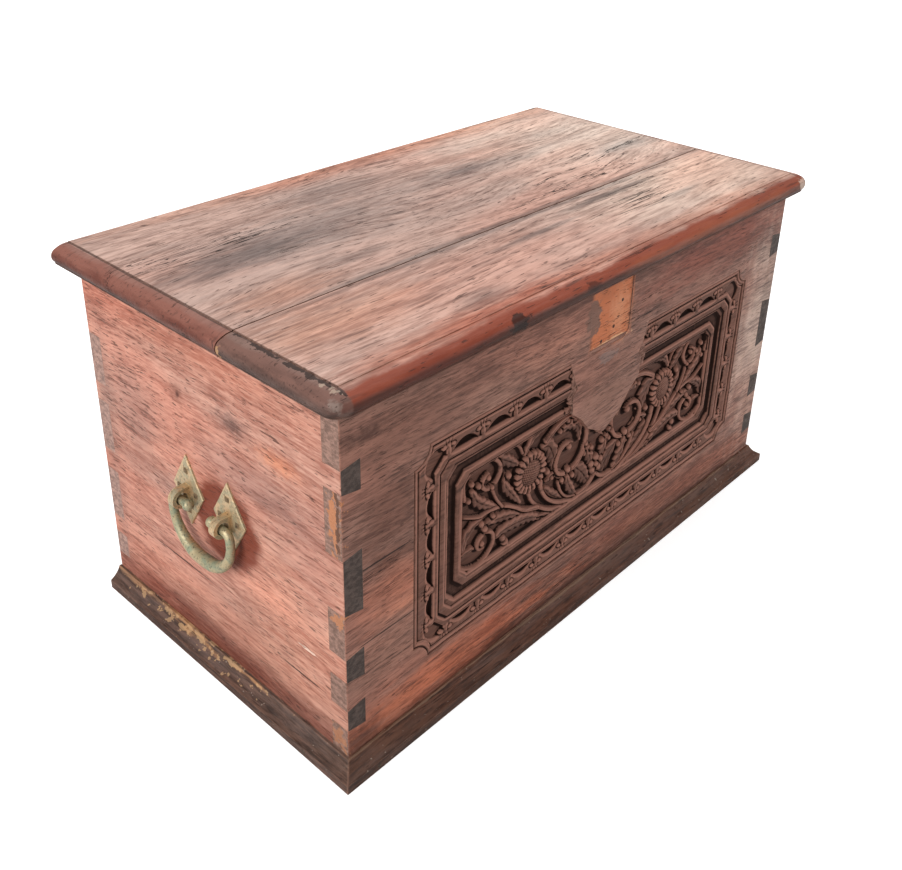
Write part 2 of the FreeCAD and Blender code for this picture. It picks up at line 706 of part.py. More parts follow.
def hinge(label_end, side):
    """A butt hinge: body leaf down the back, lid leaf in the lid's seat, and the pin through both."""
    x = hinge_x * side
    half, knuckle = s.hinge_width / 2, s.hinge_knuckle / 2
    barrel, play, leaf = s.hinge_barrel, s.hinge_play, s.hinge_leaf
    bore = s.hinge_pin_radius + s.pin_play
    back = -(barrel + play)

    body = new_body(f"hinge_body_leaf_{label_end}", x, hinge_axis_y, hinge_axis_z)
    plate = rectangle(back, -s.hinge_drop, back + leaf, ZERO)
    pad(body, new_sketch(body, "YZ_Plane", [plate]), s.hinge_width, centred=True)
    barrel_ring = new_sketch(body, "YZ_Plane", circles=[(ZERO, ZERO, barrel)])
    pad(body, barrel_ring, s.hinge_width, centred=True)
    gap = knuckle + play
    clear = rectangle(-gap, -barrel - play, gap, barrel + s.overrun)
    pocket(body, new_sketch(body, "XZ_Plane", [clear]), s.hinge_width, centred=True)
    bore_ring = new_sketch(body, "YZ_Plane", circles=[(ZERO, ZERO, bore)])
    pocket(body, bore_ring, s.hinge_width + s.overrun, centred=True)
    pocket(body, new_sketch(body, "XZ_Plane", nail_holes(body_leaf_nails())), s.hinge_width, centred=True)

    body = new_body(f"hinge_lid_leaf_{label_end}", x, hinge_axis_y, hinge_axis_z)
    level = rim - hinge_axis_z
    main = [
        (-half, -s.hinge_reach),
        (half, -s.hinge_reach),
        (half, back),
        (knuckle, back),
        (knuckle, ZERO),
        (-knuckle, ZERO),
        (-knuckle, back),
        (-half, back),
    ]
    pad(body, new_sketch(body, "XY_Plane", [main], offset=level), leaf)
    middle = new_sketch(body, "YZ_Plane", circles=[(ZERO, ZERO, barrel)])
    pad(body, middle, s.hinge_knuckle, centred=True)
    bore_ring = new_sketch(body, "YZ_Plane", circles=[(ZERO, ZERO, bore)])
    pocket(body, bore_ring, s.hinge_width, centred=True)
    holes = new_sketch(body, "XY_Plane", nail_holes(lid_leaf_nails()), offset=level)
    pocket(body, holes, s.hinge_leaf, reverse=True)

    pin = doc.addObject("Part::Cylinder", f"hinge_pin_{label_end}")
    pin.Label = f"hinge_pin_{label_end}"
    pin.setExpression("Radius", s.hinge_pin_radius.text)
    pin.setExpression("Height", s.hinge_width.text)
    pin.Placement.Rotation = FreeCAD.Rotation(FreeCAD.Vector(0, 1, 0), 90)
    for axis, length in zip("xyz", (x - half, hinge_axis_y, hinge_axis_z)):
        pin.setExpression(f"Placement.Base.{axis}", length.text)


def body_leaf_nails():
    """Nail places of a body leaf: along the hinge, up from its pin."""
    side = s.hinge_width / 2 * LEAF_NAIL_SHARE
    low = -s.hinge_drop * LEAF_NAIL_SHARE
    return [(-side, low), (ZERO, low), (side, low)]


def lid_leaf_nails():
    """Nail places of a lid leaf: along the hinge, back from its pin, inside the chest."""
    side = s.hinge_width / 2 * LEAF_NAIL_SHARE
    back = -(s.hinge_reach + s.board_thickness + s.hinge_barrel + s.hinge_play) / 2
    return [(-side, back), (ZERO, back), (side, back)]


def handle_plate(label, side, y_side):
    """Rhombus plate with a cast eye; its origin is the middle of its back."""
    y = handle_y + s.eye_spacing / 2 * y_side
    body = new_body(label, half_length * side, y, handle_z)
    half, tall, rise = s.plate_width / 2, s.plate_height / 2, s.handle_rise
    rhombus = [(ZERO, rise - tall), (half, rise), (ZERO, rise + tall), (-half, rise)]
    pad(body, new_sketch(body, "YZ_Plane", [rhombus]), s.plate_thickness, reverse=side < 0)
    round_edges(
        body,
        "Chamfer",
        s.plate_bevel,
        lambda e: edge_at(e, x=s.plate_thickness * side),
    )
    doc.recompute()
    eye_up = s.eye_hole - s.bail_end_radius - s.bail_play
    ring = s.eye_hole + s.eye_wall
    out = s.bail_stand_off * side
    lug = new_sketch(body, "XZ_Plane", circles=[(out, eye_up, ring)])
    pad(body, lug, s.eye_width, centred=True)
    root = rectangle(ZERO, eye_up - ring, out, eye_up + ring)
    pad(body, new_sketch(body, "XZ_Plane", [root]), s.eye_width, centred=True)
    hole = new_sketch(body, "XZ_Plane", circles=[(out, eye_up, s.eye_hole)])
    pocket(body, hole, s.eye_width + s.overrun, centred=True)
    holes = new_sketch(body, "YZ_Plane", nail_holes(plate_nails()))
    pocket(body, holes, s.plate_thickness + s.overrun, reverse=side > 0)
    return body


def plate_nails():
    """Nail places of a rhombus plate: one towards each corner."""
    across = s.plate_width / 2 * NAIL_PLACE_SHARE
    up = s.plate_height / 2 * NAIL_PLACE_SHARE
    rise = s.handle_rise
    return [(across, rise), (ZERO, rise + up), (-across, rise), (ZERO, rise - up)]


def quarter_turn(centre, radius, first, steps):
    """Stations of a quarter turn: place, turn about X from the Y axis, and share of the way round."""
    stations = []
    for i in range(steps + 1):
        turn = first + 90 * i / steps
        across = centre[0] + radius * math.sin(math.radians(turn))
        up = centre[1] + radius * math.cos(math.radians(turn))
        stations.append((across, up, turn, i / steps))
    return stations


def bail_stations():
    """Stations from one end of the bail to the other, each with its radius."""
    half, bend, drop, turn = s.bail_width / 2, s.bail_bend, s.bail_drop, s.bail_round
    growth = s.bail_radius - s.bail_end_radius
    near = [(s.eye_spacing / 2 - s.bail_tail, ZERO, 0, s.bail_end_radius)]
    for across, up, angle, _ in quarter_turn((half - bend, -bend), bend, 0, BEND_STEPS):
        near.append((across, up, angle, s.bail_end_radius))
    for across, up, angle, share in quarter_turn((half - turn, turn - drop), turn, 90, CORNER_STEPS):
        near.append((across, up, angle, s.bail_end_radius + growth * share))
    far = [(-across, up, 360 - angle, radius) for across, up, angle, radius in reversed(near)]
    return near + far


def bail(label, side):
    """Tapering bail, lofted from one turned-in end through the bends, the arms and the round foot."""
    body = new_body(label, (half_length + s.bail_stand_off) * side, handle_y, handle_z)
    rings = []
    for across, up, angle, radius in bail_stations():
        ring = new_sketch(body, "XZ_Plane", circles=[(ZERO, ZERO, radius)], offset=-across, shift=(ZERO, up))
        place = ring.AttachmentOffset
        ring.AttachmentOffset = FreeCAD.Placement(
            place.Base, FreeCAD.Rotation(FreeCAD.Vector(1, 0, 0), -angle)
        )
        rings.append(ring)
    rod = body.newObject("PartDesign::AdditiveLoft", f"{label}_rod")
    rod.Profile = rings[0]
    rod.Sections = rings[1:]
    rod.Ruled = True
    return body


def square_taper(low_half, low, high_half, high):
    """A square bar along Z that tapers between two half widths."""
    sides = (-low_half, 0, -low_half, -high_half, -high_half, low_half, high - low, low_half, high_half, high_half)
    bar = Part.makeWedge(*sides)
    turn = FreeCAD.Rotation(FreeCAD.Vector(1, 0, 0), 90)
    bar.Placement = FreeCAD.Placement(FreeCAD.Vector(0, 0, low), turn)
    return bar


def nail_shape(length):
    """Forged nail driven towards -Z from its head's seat at the origin: square taper and a faceted head."""
    shank, tip, head, rise = (a.value for a in (s.nail_shank, s.nail_tip, s.nail_head, s.nail_head_rise))
    body = square_taper(tip, -length.value, shank, 0)
    return body.fuse(square_taper(head, 0, head * NAIL_CROWN_SHARE, rise))


def nail_group(label, length, places):
    """A group of separate nails, each given by the place of its head's seat and the way it is driven."""
    nail = nail_shape(length)
    solids = []
    for place, drive in places:
        solid = nail.copy()
        turn = FreeCAD.Rotation(FreeCAD.Vector(0, 0, -1), FreeCAD.Vector(*drive))
        solid.Placement = FreeCAD.Placement(FreeCAD.Vector(*(c.value for c in place)), turn)
        solids.append(solid)
    group = doc.addObject("Part::Feature", label)
    group.Label = label
    group.Shape = Part.makeCompound(solids)
    return group


def spread(low, high, count):
    """Evenly spaced places from low to high."""
    return [low + (high - low) * (i / (count - 1)) for i in range(count)]


def nails():
    """Every nail group of the chest."""
    for end, side in (("left", -1), ("right", 1)):
        seat = (half_length + s.plate_thickness) * side
        places = [
            ((seat, handle_y + s.eye_spacing / 2 * k + a, handle_z + b), (-side, 0, 0))
            for k in (-1, 1)
            for a, b in plate_nails()
        ]
        nail_group(f"handle_nails_{end}", s.nail_length, places)

    hinges = [hinge_x * side for side in (-1, 1)]
    back = back_face + s.hinge_leaf
    places = [((x + a, back, hinge_axis_z + b), (0, -1, 0)) for x in hinges for a, b in body_leaf_nails()]
    nail_group("hinge_nails_body", s.nail_length, places)
    places = [((x + a, hinge_axis_y + b, rim), (0, 0, 1)) for x in hinges for a, b in lid_leaf_nails()]
    nail_group("hinge_nails_lid", s.nail_length, places)

    sunk = s.nail_head_rise - s.nail_proud
    middle = half_length - s.end_thickness - s.batten_inset - s.batten_width / 2
    inset = s.board_thickness + s.batten_clearance + s.batten_width / 2
    run = spread(front_face + inset, back_face - inset, 5)
    seat = rim - s.batten_thickness + sunk
    places = [((middle * k, y, seat), (0, 0, 1)) for k in (-1, 1) for y in run]
    nail_group("batten_nails", s.long_nail_length, places)

    edge, seat = s.board_thickness / 2, s.bottom_lift + sunk
    run = spread(s.board_thickness * 2 - half_length, half_length - s.board_thickness * 2, 5)
    places = [((x, y, seat), (0, 0, 1)) for y in (front_face + edge, back_face - edge) for x in run]
    edge = s.end_thickness / 2
    run = spread(front_face + s.body_depth / 6, back_face - s.body_depth / 6, 3)
    places += [(((half_length - edge) * k, y, seat), (0, 0, 1)) for k in (-1, 1) for y in run]
    nail_group("bottom_nails", s.long_nail_length, places)

    level, reach = s.plinth_face / 2, s.plinth_projection - sunk
    run = spread(s.plinth_height - half_length, half_length - s.plinth_height, 4)
    places = [((x, front_face - reach, level), (0, 1, 0)) for x in run]
    run = spread(front_face + s.plinth_height * 2, back_face - s.plinth_height * 2, 2)
    places += [(((half_length + reach) * k, y, level), (-k, 0, 0)) for k in (-1, 1) for y in run]
    nail_group("plinth_nails", s.long_nail_length, places)


def main():
    """Builds every piece, checks it and writes its file."""
    front = tail_board("front_board", FRONT_PIN_SHARES, front_face, True)
    carve_front(front)
    tail_board("back_board", BACK_PIN_SHARES, back_face, False)
    end_board("left_end_board", -1)
    end_board("right_end_board", 1)
    bottom_boards()
    plinth()
    lid_front()
    lid_rear()
    lid_battens()
    for end, side in (("left", -1), ("right", 1)):
        hinge(end, side)
        handle_plate(f"handle_plate_{end}_front", side, -1)
        handle_plate(f"handle_plate_{end}_rear", side, 1)
        bail(f"bail_{end}", side)
    nails()
    doc.recompute()
    check_features()
    write_parts()


def check_features():
    """Stops on a failed object, an empty shape or a cut that removes nothing."""
    for item in doc.Objects:
        bad = {"Invalid", "Error"} & set(item.State)
        if bad:
            raise RuntimeError(f"{item.Label}: {bad}")
        if item.TypeId == "PartDesign::Body":
            check_steps(item)


def check_steps(body):
    """Each solid step of a body has to add or remove material as its kind says."""
    adds = ("PartDesign::Pad", "PartDesign::Revolution", "PartDesign::AdditiveLoft")
    before = 0.0
    for step in body.Group:
        if not step.isDerivedFrom("PartDesign::Feature"):
            continue
        volume = step.Shape.Volume
        grew = volume > before
        if grew != (step.TypeId in adds) or abs(volume - before) < TOUCH:
            raise RuntimeError(f"{step.Label} in {body.Label}: volume {before:.1f} to {volume:.1f}")
        before = volume


def write_parts():
    """Writes one file per piece."""
    os.makedirs("parts", exist_ok=True)
    kinds = ("PartDesign::Body", "Part::Cylinder", "Part::Feature")
    for item in doc.Objects:
        if item.TypeId not in kinds:
            continue
        shape = item.Shape
        if shape.isNull() or not shape.isValid():
            raise RuntimeError(f"{item.Label}: no valid shape")
        shape.exportStep(f"parts/{item.Label}.step")
        box = shape.BoundBox
        size = " x ".join(f"{side:.1f}" for side in (box.XLength, box.YLength, box.ZLength))
        print(f"{item.Label}: {len(shape.Solids)} solid, {size}")


main()
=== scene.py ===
import math

import bpy
import numpy as np
from bpy.props import FloatProperty, FloatVectorProperty, IntProperty
from mathutils import Matrix, Vector


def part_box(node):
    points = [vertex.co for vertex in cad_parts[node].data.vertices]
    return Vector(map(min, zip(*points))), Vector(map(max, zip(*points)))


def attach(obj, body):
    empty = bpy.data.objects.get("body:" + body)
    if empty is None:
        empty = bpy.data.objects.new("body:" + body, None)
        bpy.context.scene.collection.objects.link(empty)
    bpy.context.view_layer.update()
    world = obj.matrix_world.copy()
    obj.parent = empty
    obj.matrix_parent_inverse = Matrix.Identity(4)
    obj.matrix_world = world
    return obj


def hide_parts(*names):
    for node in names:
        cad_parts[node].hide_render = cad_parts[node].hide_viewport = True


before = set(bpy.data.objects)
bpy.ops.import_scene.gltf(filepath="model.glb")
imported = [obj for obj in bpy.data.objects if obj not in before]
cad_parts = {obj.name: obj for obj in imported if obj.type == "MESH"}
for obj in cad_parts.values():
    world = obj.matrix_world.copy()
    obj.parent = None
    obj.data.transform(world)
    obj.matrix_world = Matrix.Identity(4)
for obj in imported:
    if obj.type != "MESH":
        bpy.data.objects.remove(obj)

bl_info = {
    "name": "Carved dovetailed chest",
    "version": (1, 0, 0),
    "blender": (4, 5, 0),
    "location": "3D View > Sidebar > Chest",
    "description": "Builds the looks of a small carved chest round its fixed frame",
    "category": "Add Mesh",
}

MM = 0.001
FRONT_FACE = round(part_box("front_board")[0].y / MM, 1)
LEFT_FACE = round(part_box("left_end_board")[0].x / MM, 1)
LID_TOP = round(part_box("lid_front_board")[1].z / MM, 1)

# The left half of the scroll carving, in millimetres from its middle line and from the foot of the field.
# Stems: places along the middle line, half width at the start and at the end, height.
STEMS = (
    (((-102, 38), (-98, 29), (-89, 18), (-75, 7), (-60, 0), (-41, -3.5), (-21, -3)), 2.0, 2.6, 5.4),
    (((-86, 44), (-84, 33), (-74, 18), (-58, 6), (-41, 0), (-21, -1), (-9, 3), (-1, 10)), 2.2, 2.2, 6.0),
    (((-88, 16), (-107, 23), (-122, 34), (-137, 43), (-152, 47), (-169, 48), (-188, 57)), 2.6, 1.2, 5.8),
    (((-138, 43), (-145, 53), (-150, 63), (-153, 71)), 1.8, 1.3, 5.4),
    (
        ((-191, 6), (-182, 0), (-169, -2.5), (-157, 1), (-149, 10), (-150, 21), (-159, 27), (-167, 24),
         (-170, 19), (-168, 14), (-163, 13)),
        1.6, 2.2, 5.6,
    ),
    (
        ((-188, 75), (-190, 88), (-186, 97), (-172, 100), (-155, 100), (-145, 92), (-143, 82),
         (-150, 73), (-160, 72), (-166, 78), (-165, 84), (-159, 87)),
        2.2, 2.0, 5.6,
    ),
    (
        ((-81, 84), (-65, 93), (-48, 95), (-31, 88), (-21, 73), (-21, 53), (-31, 38), (-46, 34),
         (-60, 39), (-65, 51), (-60, 63), (-51, 67), (-43, 65)),
        2.6, 2.2, 6.0,
    ),
    (((-58, 28), (-54, 17), (-44, 5), (-30, -0.5)), 1.8, 1.2, 5.4),
    (((-141, 101), (-128, 101), (-118, 95), (-113, 86)), 1.6, 1.4, 5.0),
)
# Leaves: places along the midrib, half width, height.
LEAVES = (
    (((-77, 30), (-68, 19), (-55, 9), (-41, 2.5)), 6.5, 3.2),
    (((-31, 31), (-21, 21), (-15, 13), (-9, 4)), 9.5, 3.4),
    (((-147, 97), (-135, 89), (-127, 83), (-117, 76)), 6.4, 3.4),
    (((-178, 78), (-172, 66), (-160, 56), (-147, 48)), 6.0, 4.6),
    (((-133, 73), (-135, 63), (-125, 49), (-113, 34)), 5.4, 4.2),
    (((-159, 35), (-145, 33), (-128, 28), (-109, 21)), 5.6, 4.2),
    (((-145, 14), (-132, 16), (-105, 12), (-78, 0)), 7.0, 4.4),
    (((-188, 23), (-185, 34), (-176, 41), (-164, 45)), 6.0, 4.0),
    (((-110, 84), (-101, 95), (-87, 100), (-68, 101)), 5.0, 4.6),
    (((-83, 78), (-75, 75), (-68, 61), (-65, 46)), 9.0, 3.8),
    (((-58, 84), (-45, 85), (-33, 78), (-30, 63)), 6.5, 4.2),
    (((-76, 39), (-65, 41), (-55, 34), (-48, 21)), 5.0, 3.8),
    (((-45, 28), (-42, 18), (-36, 8), (-29, 0)), 6.0, 4.6),
    (((-16, 48), (-12, 38), (-9, 29), (-6, 21)), 6.5, 4.2),
    (((-86, 4), (-75, 1), (-65, -2), (-55, -3.5)), 2.6, 4.0),
    (((-189, 18), (-183, 18), (-177, 18), (-171, 16)), 3.4, 3.8),
)
# Lobes and scroll ends: place, radius, height.
LOBES = (
    (-178.8, 86.0, 3.4, 5.0),
    (-170.1, 79.9, 3.4, 5.0),
    (-182.1, 70.5, 3.4, 4.6),
    (-130.9, 71.2, 4.0, 5.0),
    (-153.0, 70.5, 2.8, 5.4),
    (-164.7, 37.7, 3.8, 5.2),
    (-160.0, 30.3, 3.8, 5.2),
    (-149.3, 38.4, 3.0, 4.8),
    (-131.9, 0.8, 4.6, 5.2),
    (-135.2, 6.9, 4.0, 4.8),
    (-75.6, 47.8, 3.8, 4.8),
    (-68.2, 37.7, 2.8, 4.4),
    (-52.8, 27.7, 3.4, 5.2),
    (-44.8, 35.7, 4.2, 5.6),
    (-36.7, 25.6, 3.6, 5.2),
    (-59.8, 83.9, 3.2, 4.6),
    (-48.8, 90.6, 3.4, 4.4),
    (-38.1, 88.0, 3.6, 4.4),
    (-18.0, 51.8, 3.6, 4.8),
    (-8.6, 43.1, 3.8, 5.0),
    (-19.6, 41.1, 3.2, 4.6),
    (-158.0, 82.6, 3.3, 5.4),
    (-164.0, 16.9, 3.3, 5.4),
    (-45.4, 61.2, 4.0, 5.4),
)
# Sections of the moulded frame: distance inwards from its outer edge, depth below the face.
FRAME_STEPS = (
    (0.0, 0.8), (0.6, 0.35), (2.9, 0.3), (3.6, 2.2), (4.9, 2.2), (5.6, 0.5), (10.2, 0.4), (11.2, 2.0),
    (15.4, 2.2), (16.4, 3.8), (17.4, 5.3), (24.9, 5.3), (25.8, 2.6), (26.6, 2.2), (30.6, 2.2),
    (31.8, 3.2), (32.9, 8.8), (60.0, 8.8),
)
# Sections of the border: distance inwards from the panel's edge, depth below the face.
BORDER_STEPS = (
    (-5.0, 1.2), (1.3, 1.2), (2.0, 0.4), (4.0, 0.5), (5.0, 2.5), (6.2, 2.5), (7.0, 1.0), (12.0, 1.5),
    (30.0, 2.6),
)
# The panel on the front board: foot above the board's foot, height, middle and half length, and notch.
PANEL_FOOT, PANEL_HEIGHT = 52.4, 213.0
PANEL_MIDDLE, PANEL_HALF = 3.5, 250.5
PANEL_NOTCH = 17.0
PANEL_RIM = 1.0
# The moulded frame: distance from the panel's sides and rails, clipped corner, width, and its sunk hollow.
FRAME_SIDE, FRAME_RAIL, FRAME_CLIP = 25.5, 22.0, 10.0
FRAME_WIDTH = 33.4
FRAME_HOLLOW = (16.6, 25.4)
# Scallops of the border: pitch, count and shift of a row along a rail and up a side, and radius and sink.
RAIL_PITCH, RAIL_COUNT, RAIL_SHIFT = 40.5, 10, 8.0
SIDE_PITCH, SIDE_COUNT, SIDE_SHIFT = 34.0, 4, 6.0
SCALLOP_RADIUS, SCALLOP_SINK = 17.56, 8.26
# The plain board's own sunk surfaces: outer fillet, border, scallop and field, and the steps of its frame.
BOARD_FILLET, BOARD_FILLET_DEPTH = 4.5, 1.4
BOARD_BORDER, BOARD_SCALLOP, BOARD_FIELD = 4.0, 7.0, 9.0
BOARD_FRAME = ((3.2, 0.8), (6.2, 2.4), (11, 0.8), (26, 5.5), (33, 3.2))
# The plain tongue: middle, half width, height of its tip and of its shoulders.
TONGUE_MIDDLE, TONGUE_HALF, TONGUE_TIP, TONGUE_SHOULDER = 6.0, 60.5, 184.4, 238.0
# The scrolls: foot above the panel's foot, spread of the right half, and place and radius of a sunflower.
FIELD_FOOT, FIELD_DEPTH = 57.6, 8.84
SPREAD, SPREAD_PLACE, SPREAD_REACH = 7.0, 95.0, 42.0
SUNFLOWER = (-101.7, 61.2, 21.5)
ROSETTE = (-0.5, 20.9)
# Depth of a slab's back below the face, and least depth of the carved surface.
SLAB_BACK, LEAST_DEPTH = 11.5, 0.12
SLABS = 4


def tint(name, description, default):
    """A colour among the settings."""
    return FloatVectorProperty(name=name, description=description, subtype="COLOR", default=default, size=3)


class CarvingSettings(bpy.types.PropertyGroup):
    """Sizes of the carved panel."""

    pitch: FloatProperty(
        name="Pitch", description="Spacing of the carved surface's points, in millimetres",
        default=0.7, min=0.3,
    )
    clearance: FloatProperty(
        name="Clearance", description="Carved surface above the sunk board behind it, in millimetres",
        default=0.16,
    )
    axis: FloatProperty(
        name="Middle", description="Middle line of the scrolls along the chest, in millimetres", default=5.0
    )
    petals: IntProperty(name="Petals", description="Petals of one sunflower", default=19, min=5)
    tool_marks: FloatProperty(
        name="Tool marks", description="Unevenness left by the chisel, in millimetres", default=0.16
    )


class WoodSettings(bpy.types.PropertyGroup):
    """Colours of the timber."""

    salmon: tint("Salmon", "Sunlit timber of the ends", (0.588, 0.316, 0.238))
    rose: tint("Rose", "Deeper figure of the ends", (0.37, 0.150, 0.105))
    faded: tint("Faded", "Faded timber of the lid", (0.665, 0.450, 0.374))
    faded_deep: tint("Faded figure", "Figure of the lid", (0.39, 0.240, 0.194))
    brown: tint("Brown", "Timber of the front", (0.385, 0.203, 0.152))
    brown_deep: tint("Brown figure", "Figure of the front", (0.175, 0.088, 0.067))
    carved: tint("Carved", "Tops of the carving", (0.225, 0.106, 0.077))
    # Hollow: colour of the painted shade and old dirt in the carving's hollows.
    hollow: tint("Hollow", "Hollows of the carving", (0.018, 0.008, 0.006))
    red: tint("Red", "Polished red timber of the nosing", (0.250, 0.050, 0.024))
    raw: tint("Raw", "Broken timber at the corner", (0.46, 0.19, 0.09))
    grey: tint("Weathered", "Weathered surface", (0.23, 0.180, 0.165))
    dark: tint("Dark", "Pores and old polish", (0.060, 0.036, 0.030))
    black: tint("Black", "Cracks and soot", (0.016, 0.011, 0.010))
    end_grain: tint("End grain", "Grey end grain", (0.095, 0.068, 0.058))


class StageSettings(bpy.types.PropertyGroup):
    """Camera and lights."""

    location: FloatVectorProperty(
        name="Camera", description="Place of the camera", subtype="TRANSLATION", unit="LENGTH",
        default=(-0.7229, -0.6440, 0.7284), size=3,
    )
    turn: FloatVectorProperty(
        name="Turn", description="Azimuth, elevation and roll of the camera, in degrees",
        default=(-47.802, 25.482, 1.470), size=3,
    )
    lens: FloatProperty(name="Lens", description="Focal length in millimetres", default=42.58)
    shift: FloatVectorProperty(
        name="Shift", description="Lens shift of the camera", default=(-0.0118, -0.1514), size=2
    )
    key: FloatProperty(
        name="Key", description="Power of the large light at the left", default=58.0, unit="POWER"
    )
    fill: FloatProperty(name="Fill", description="Power of the light overhead", default=38.0, unit="POWER")
    front: FloatProperty(
        name="Front", description="Power of the low light at the right", default=22.0, unit="POWER"
    )
    room: FloatProperty(name="Room", description="Strength of the light from all round", default=0.32)
    glow: FloatProperty(name="Floor", description="Whiteness that the camera adds to the floor", default=0.55)


# Meshes


def new_object(name, points, quads, faces=(), smooth=True):
    """An object at the origin from an array of points, an array of quads and a few larger faces."""
    mesh = bpy.data.meshes.new(name)
    loops = np.concatenate([np.asarray(quads, np.int32).ravel()] + [np.asarray(f, np.int32) for f in faces])
    sizes = np.concatenate([np.full(len(quads), 4), [len(f) for f in faces]]).astype(np.int32)
    mesh.vertices.add(len(points))
    mesh.vertices.foreach_set("co", np.asarray(points, np.float32).ravel())
    mesh.loops.add(len(loops))
    mesh.loops.foreach_set("vertex_index", loops)
    mesh.polygons.add(len(sizes))
    mesh.polygons.foreach_set("loop_start", np.concatenate([[0], np.cumsum(sizes)[:-1]]).astype(np.int32))
    mesh.polygons.foreach_set("use_smooth", np.full(len(sizes), smooth))
    mesh.update(calc_edges=True)
    if mesh.validate():
        raise RuntimeError(f"{name}: the mesh had faults")
    made = bpy.data.objects.new(name, mesh)
    bpy.context.scene.collection.objects.link(made)
    return made


def point_values(made, name, values):
    """Stores one number per point for the materials."""
    attribute = made.data.attributes.new(name, "FLOAT", "POINT")
    attribute.data.foreach_set("value", np.asarray(values, np.float32).ravel())


def grid_quads(rows, columns, wrap=False):
    """Quads of a grid of points stored row by row; wrap joins the last column to the first."""
    index = np.arange(rows * columns).reshape(rows, columns)
    right = np.roll(index, -1, 1) if wrap else index[:, 1:]
    left = index if wrap else index[:, :-1]
    return np.stack([left[:-1], right[:-1], right[1:], left[1:]], -1).reshape(-1, 4)


def smoothstep(x):
    """Eased rise from 0 to 1."""
    x = np.clip(x, 0.0, 1.0)
    return x * x * (3 - 2 * x)


def smooth_path(points, count):
    """Catmull-Rom curve through the points, evaluated at evenly spaced parameters."""
    p = np.asarray(points, float)
    p = np.vstack([2 * p[0] - p[1], p, 2 * p[-1] - p[-2]])
    t = np.linspace(0, len(points) - 1 - 1e-9, count)
    i, f = t.astype(int), (t % 1)[:, None]
    a, b, c, d = p[i], p[i + 1], p[i + 2], p[i + 3]
    return 0.5 * (2 * b + (c - a) * f + (2 * a - 5 * b + 4 * c - d) * f**2 + (3 * b - a - 3 * c + d) * f**3)


def value_noise(x, y, seed):
    """Smooth lattice noise from 0 to 1 at arrays of places one unit apart."""
    xi, yi = np.floor(x).astype(np.int64), np.floor(y).astype(np.int64)
    fx, fy = smoothstep(x - xi), smoothstep(y - yi)

    def lattice(i, j):
        n = (i * 374761393 + j * 668265263 + seed * 974634777) & 0x7FFFFFFF
        n = ((n ^ (n >> 13)) * 1274126177) & 0x7FFFFFFF
        return ((n ^ (n >> 16)) & 0xFFFF) / 65535.0

    near = lattice(xi, yi) * (1 - fx) + lattice(xi + 1, yi) * fx
    far = lattice(xi, yi + 1) * (1 - fx) + lattice(xi + 1, yi + 1) * fx
    return near * (1 - fy) + far * fy


# The carved panel


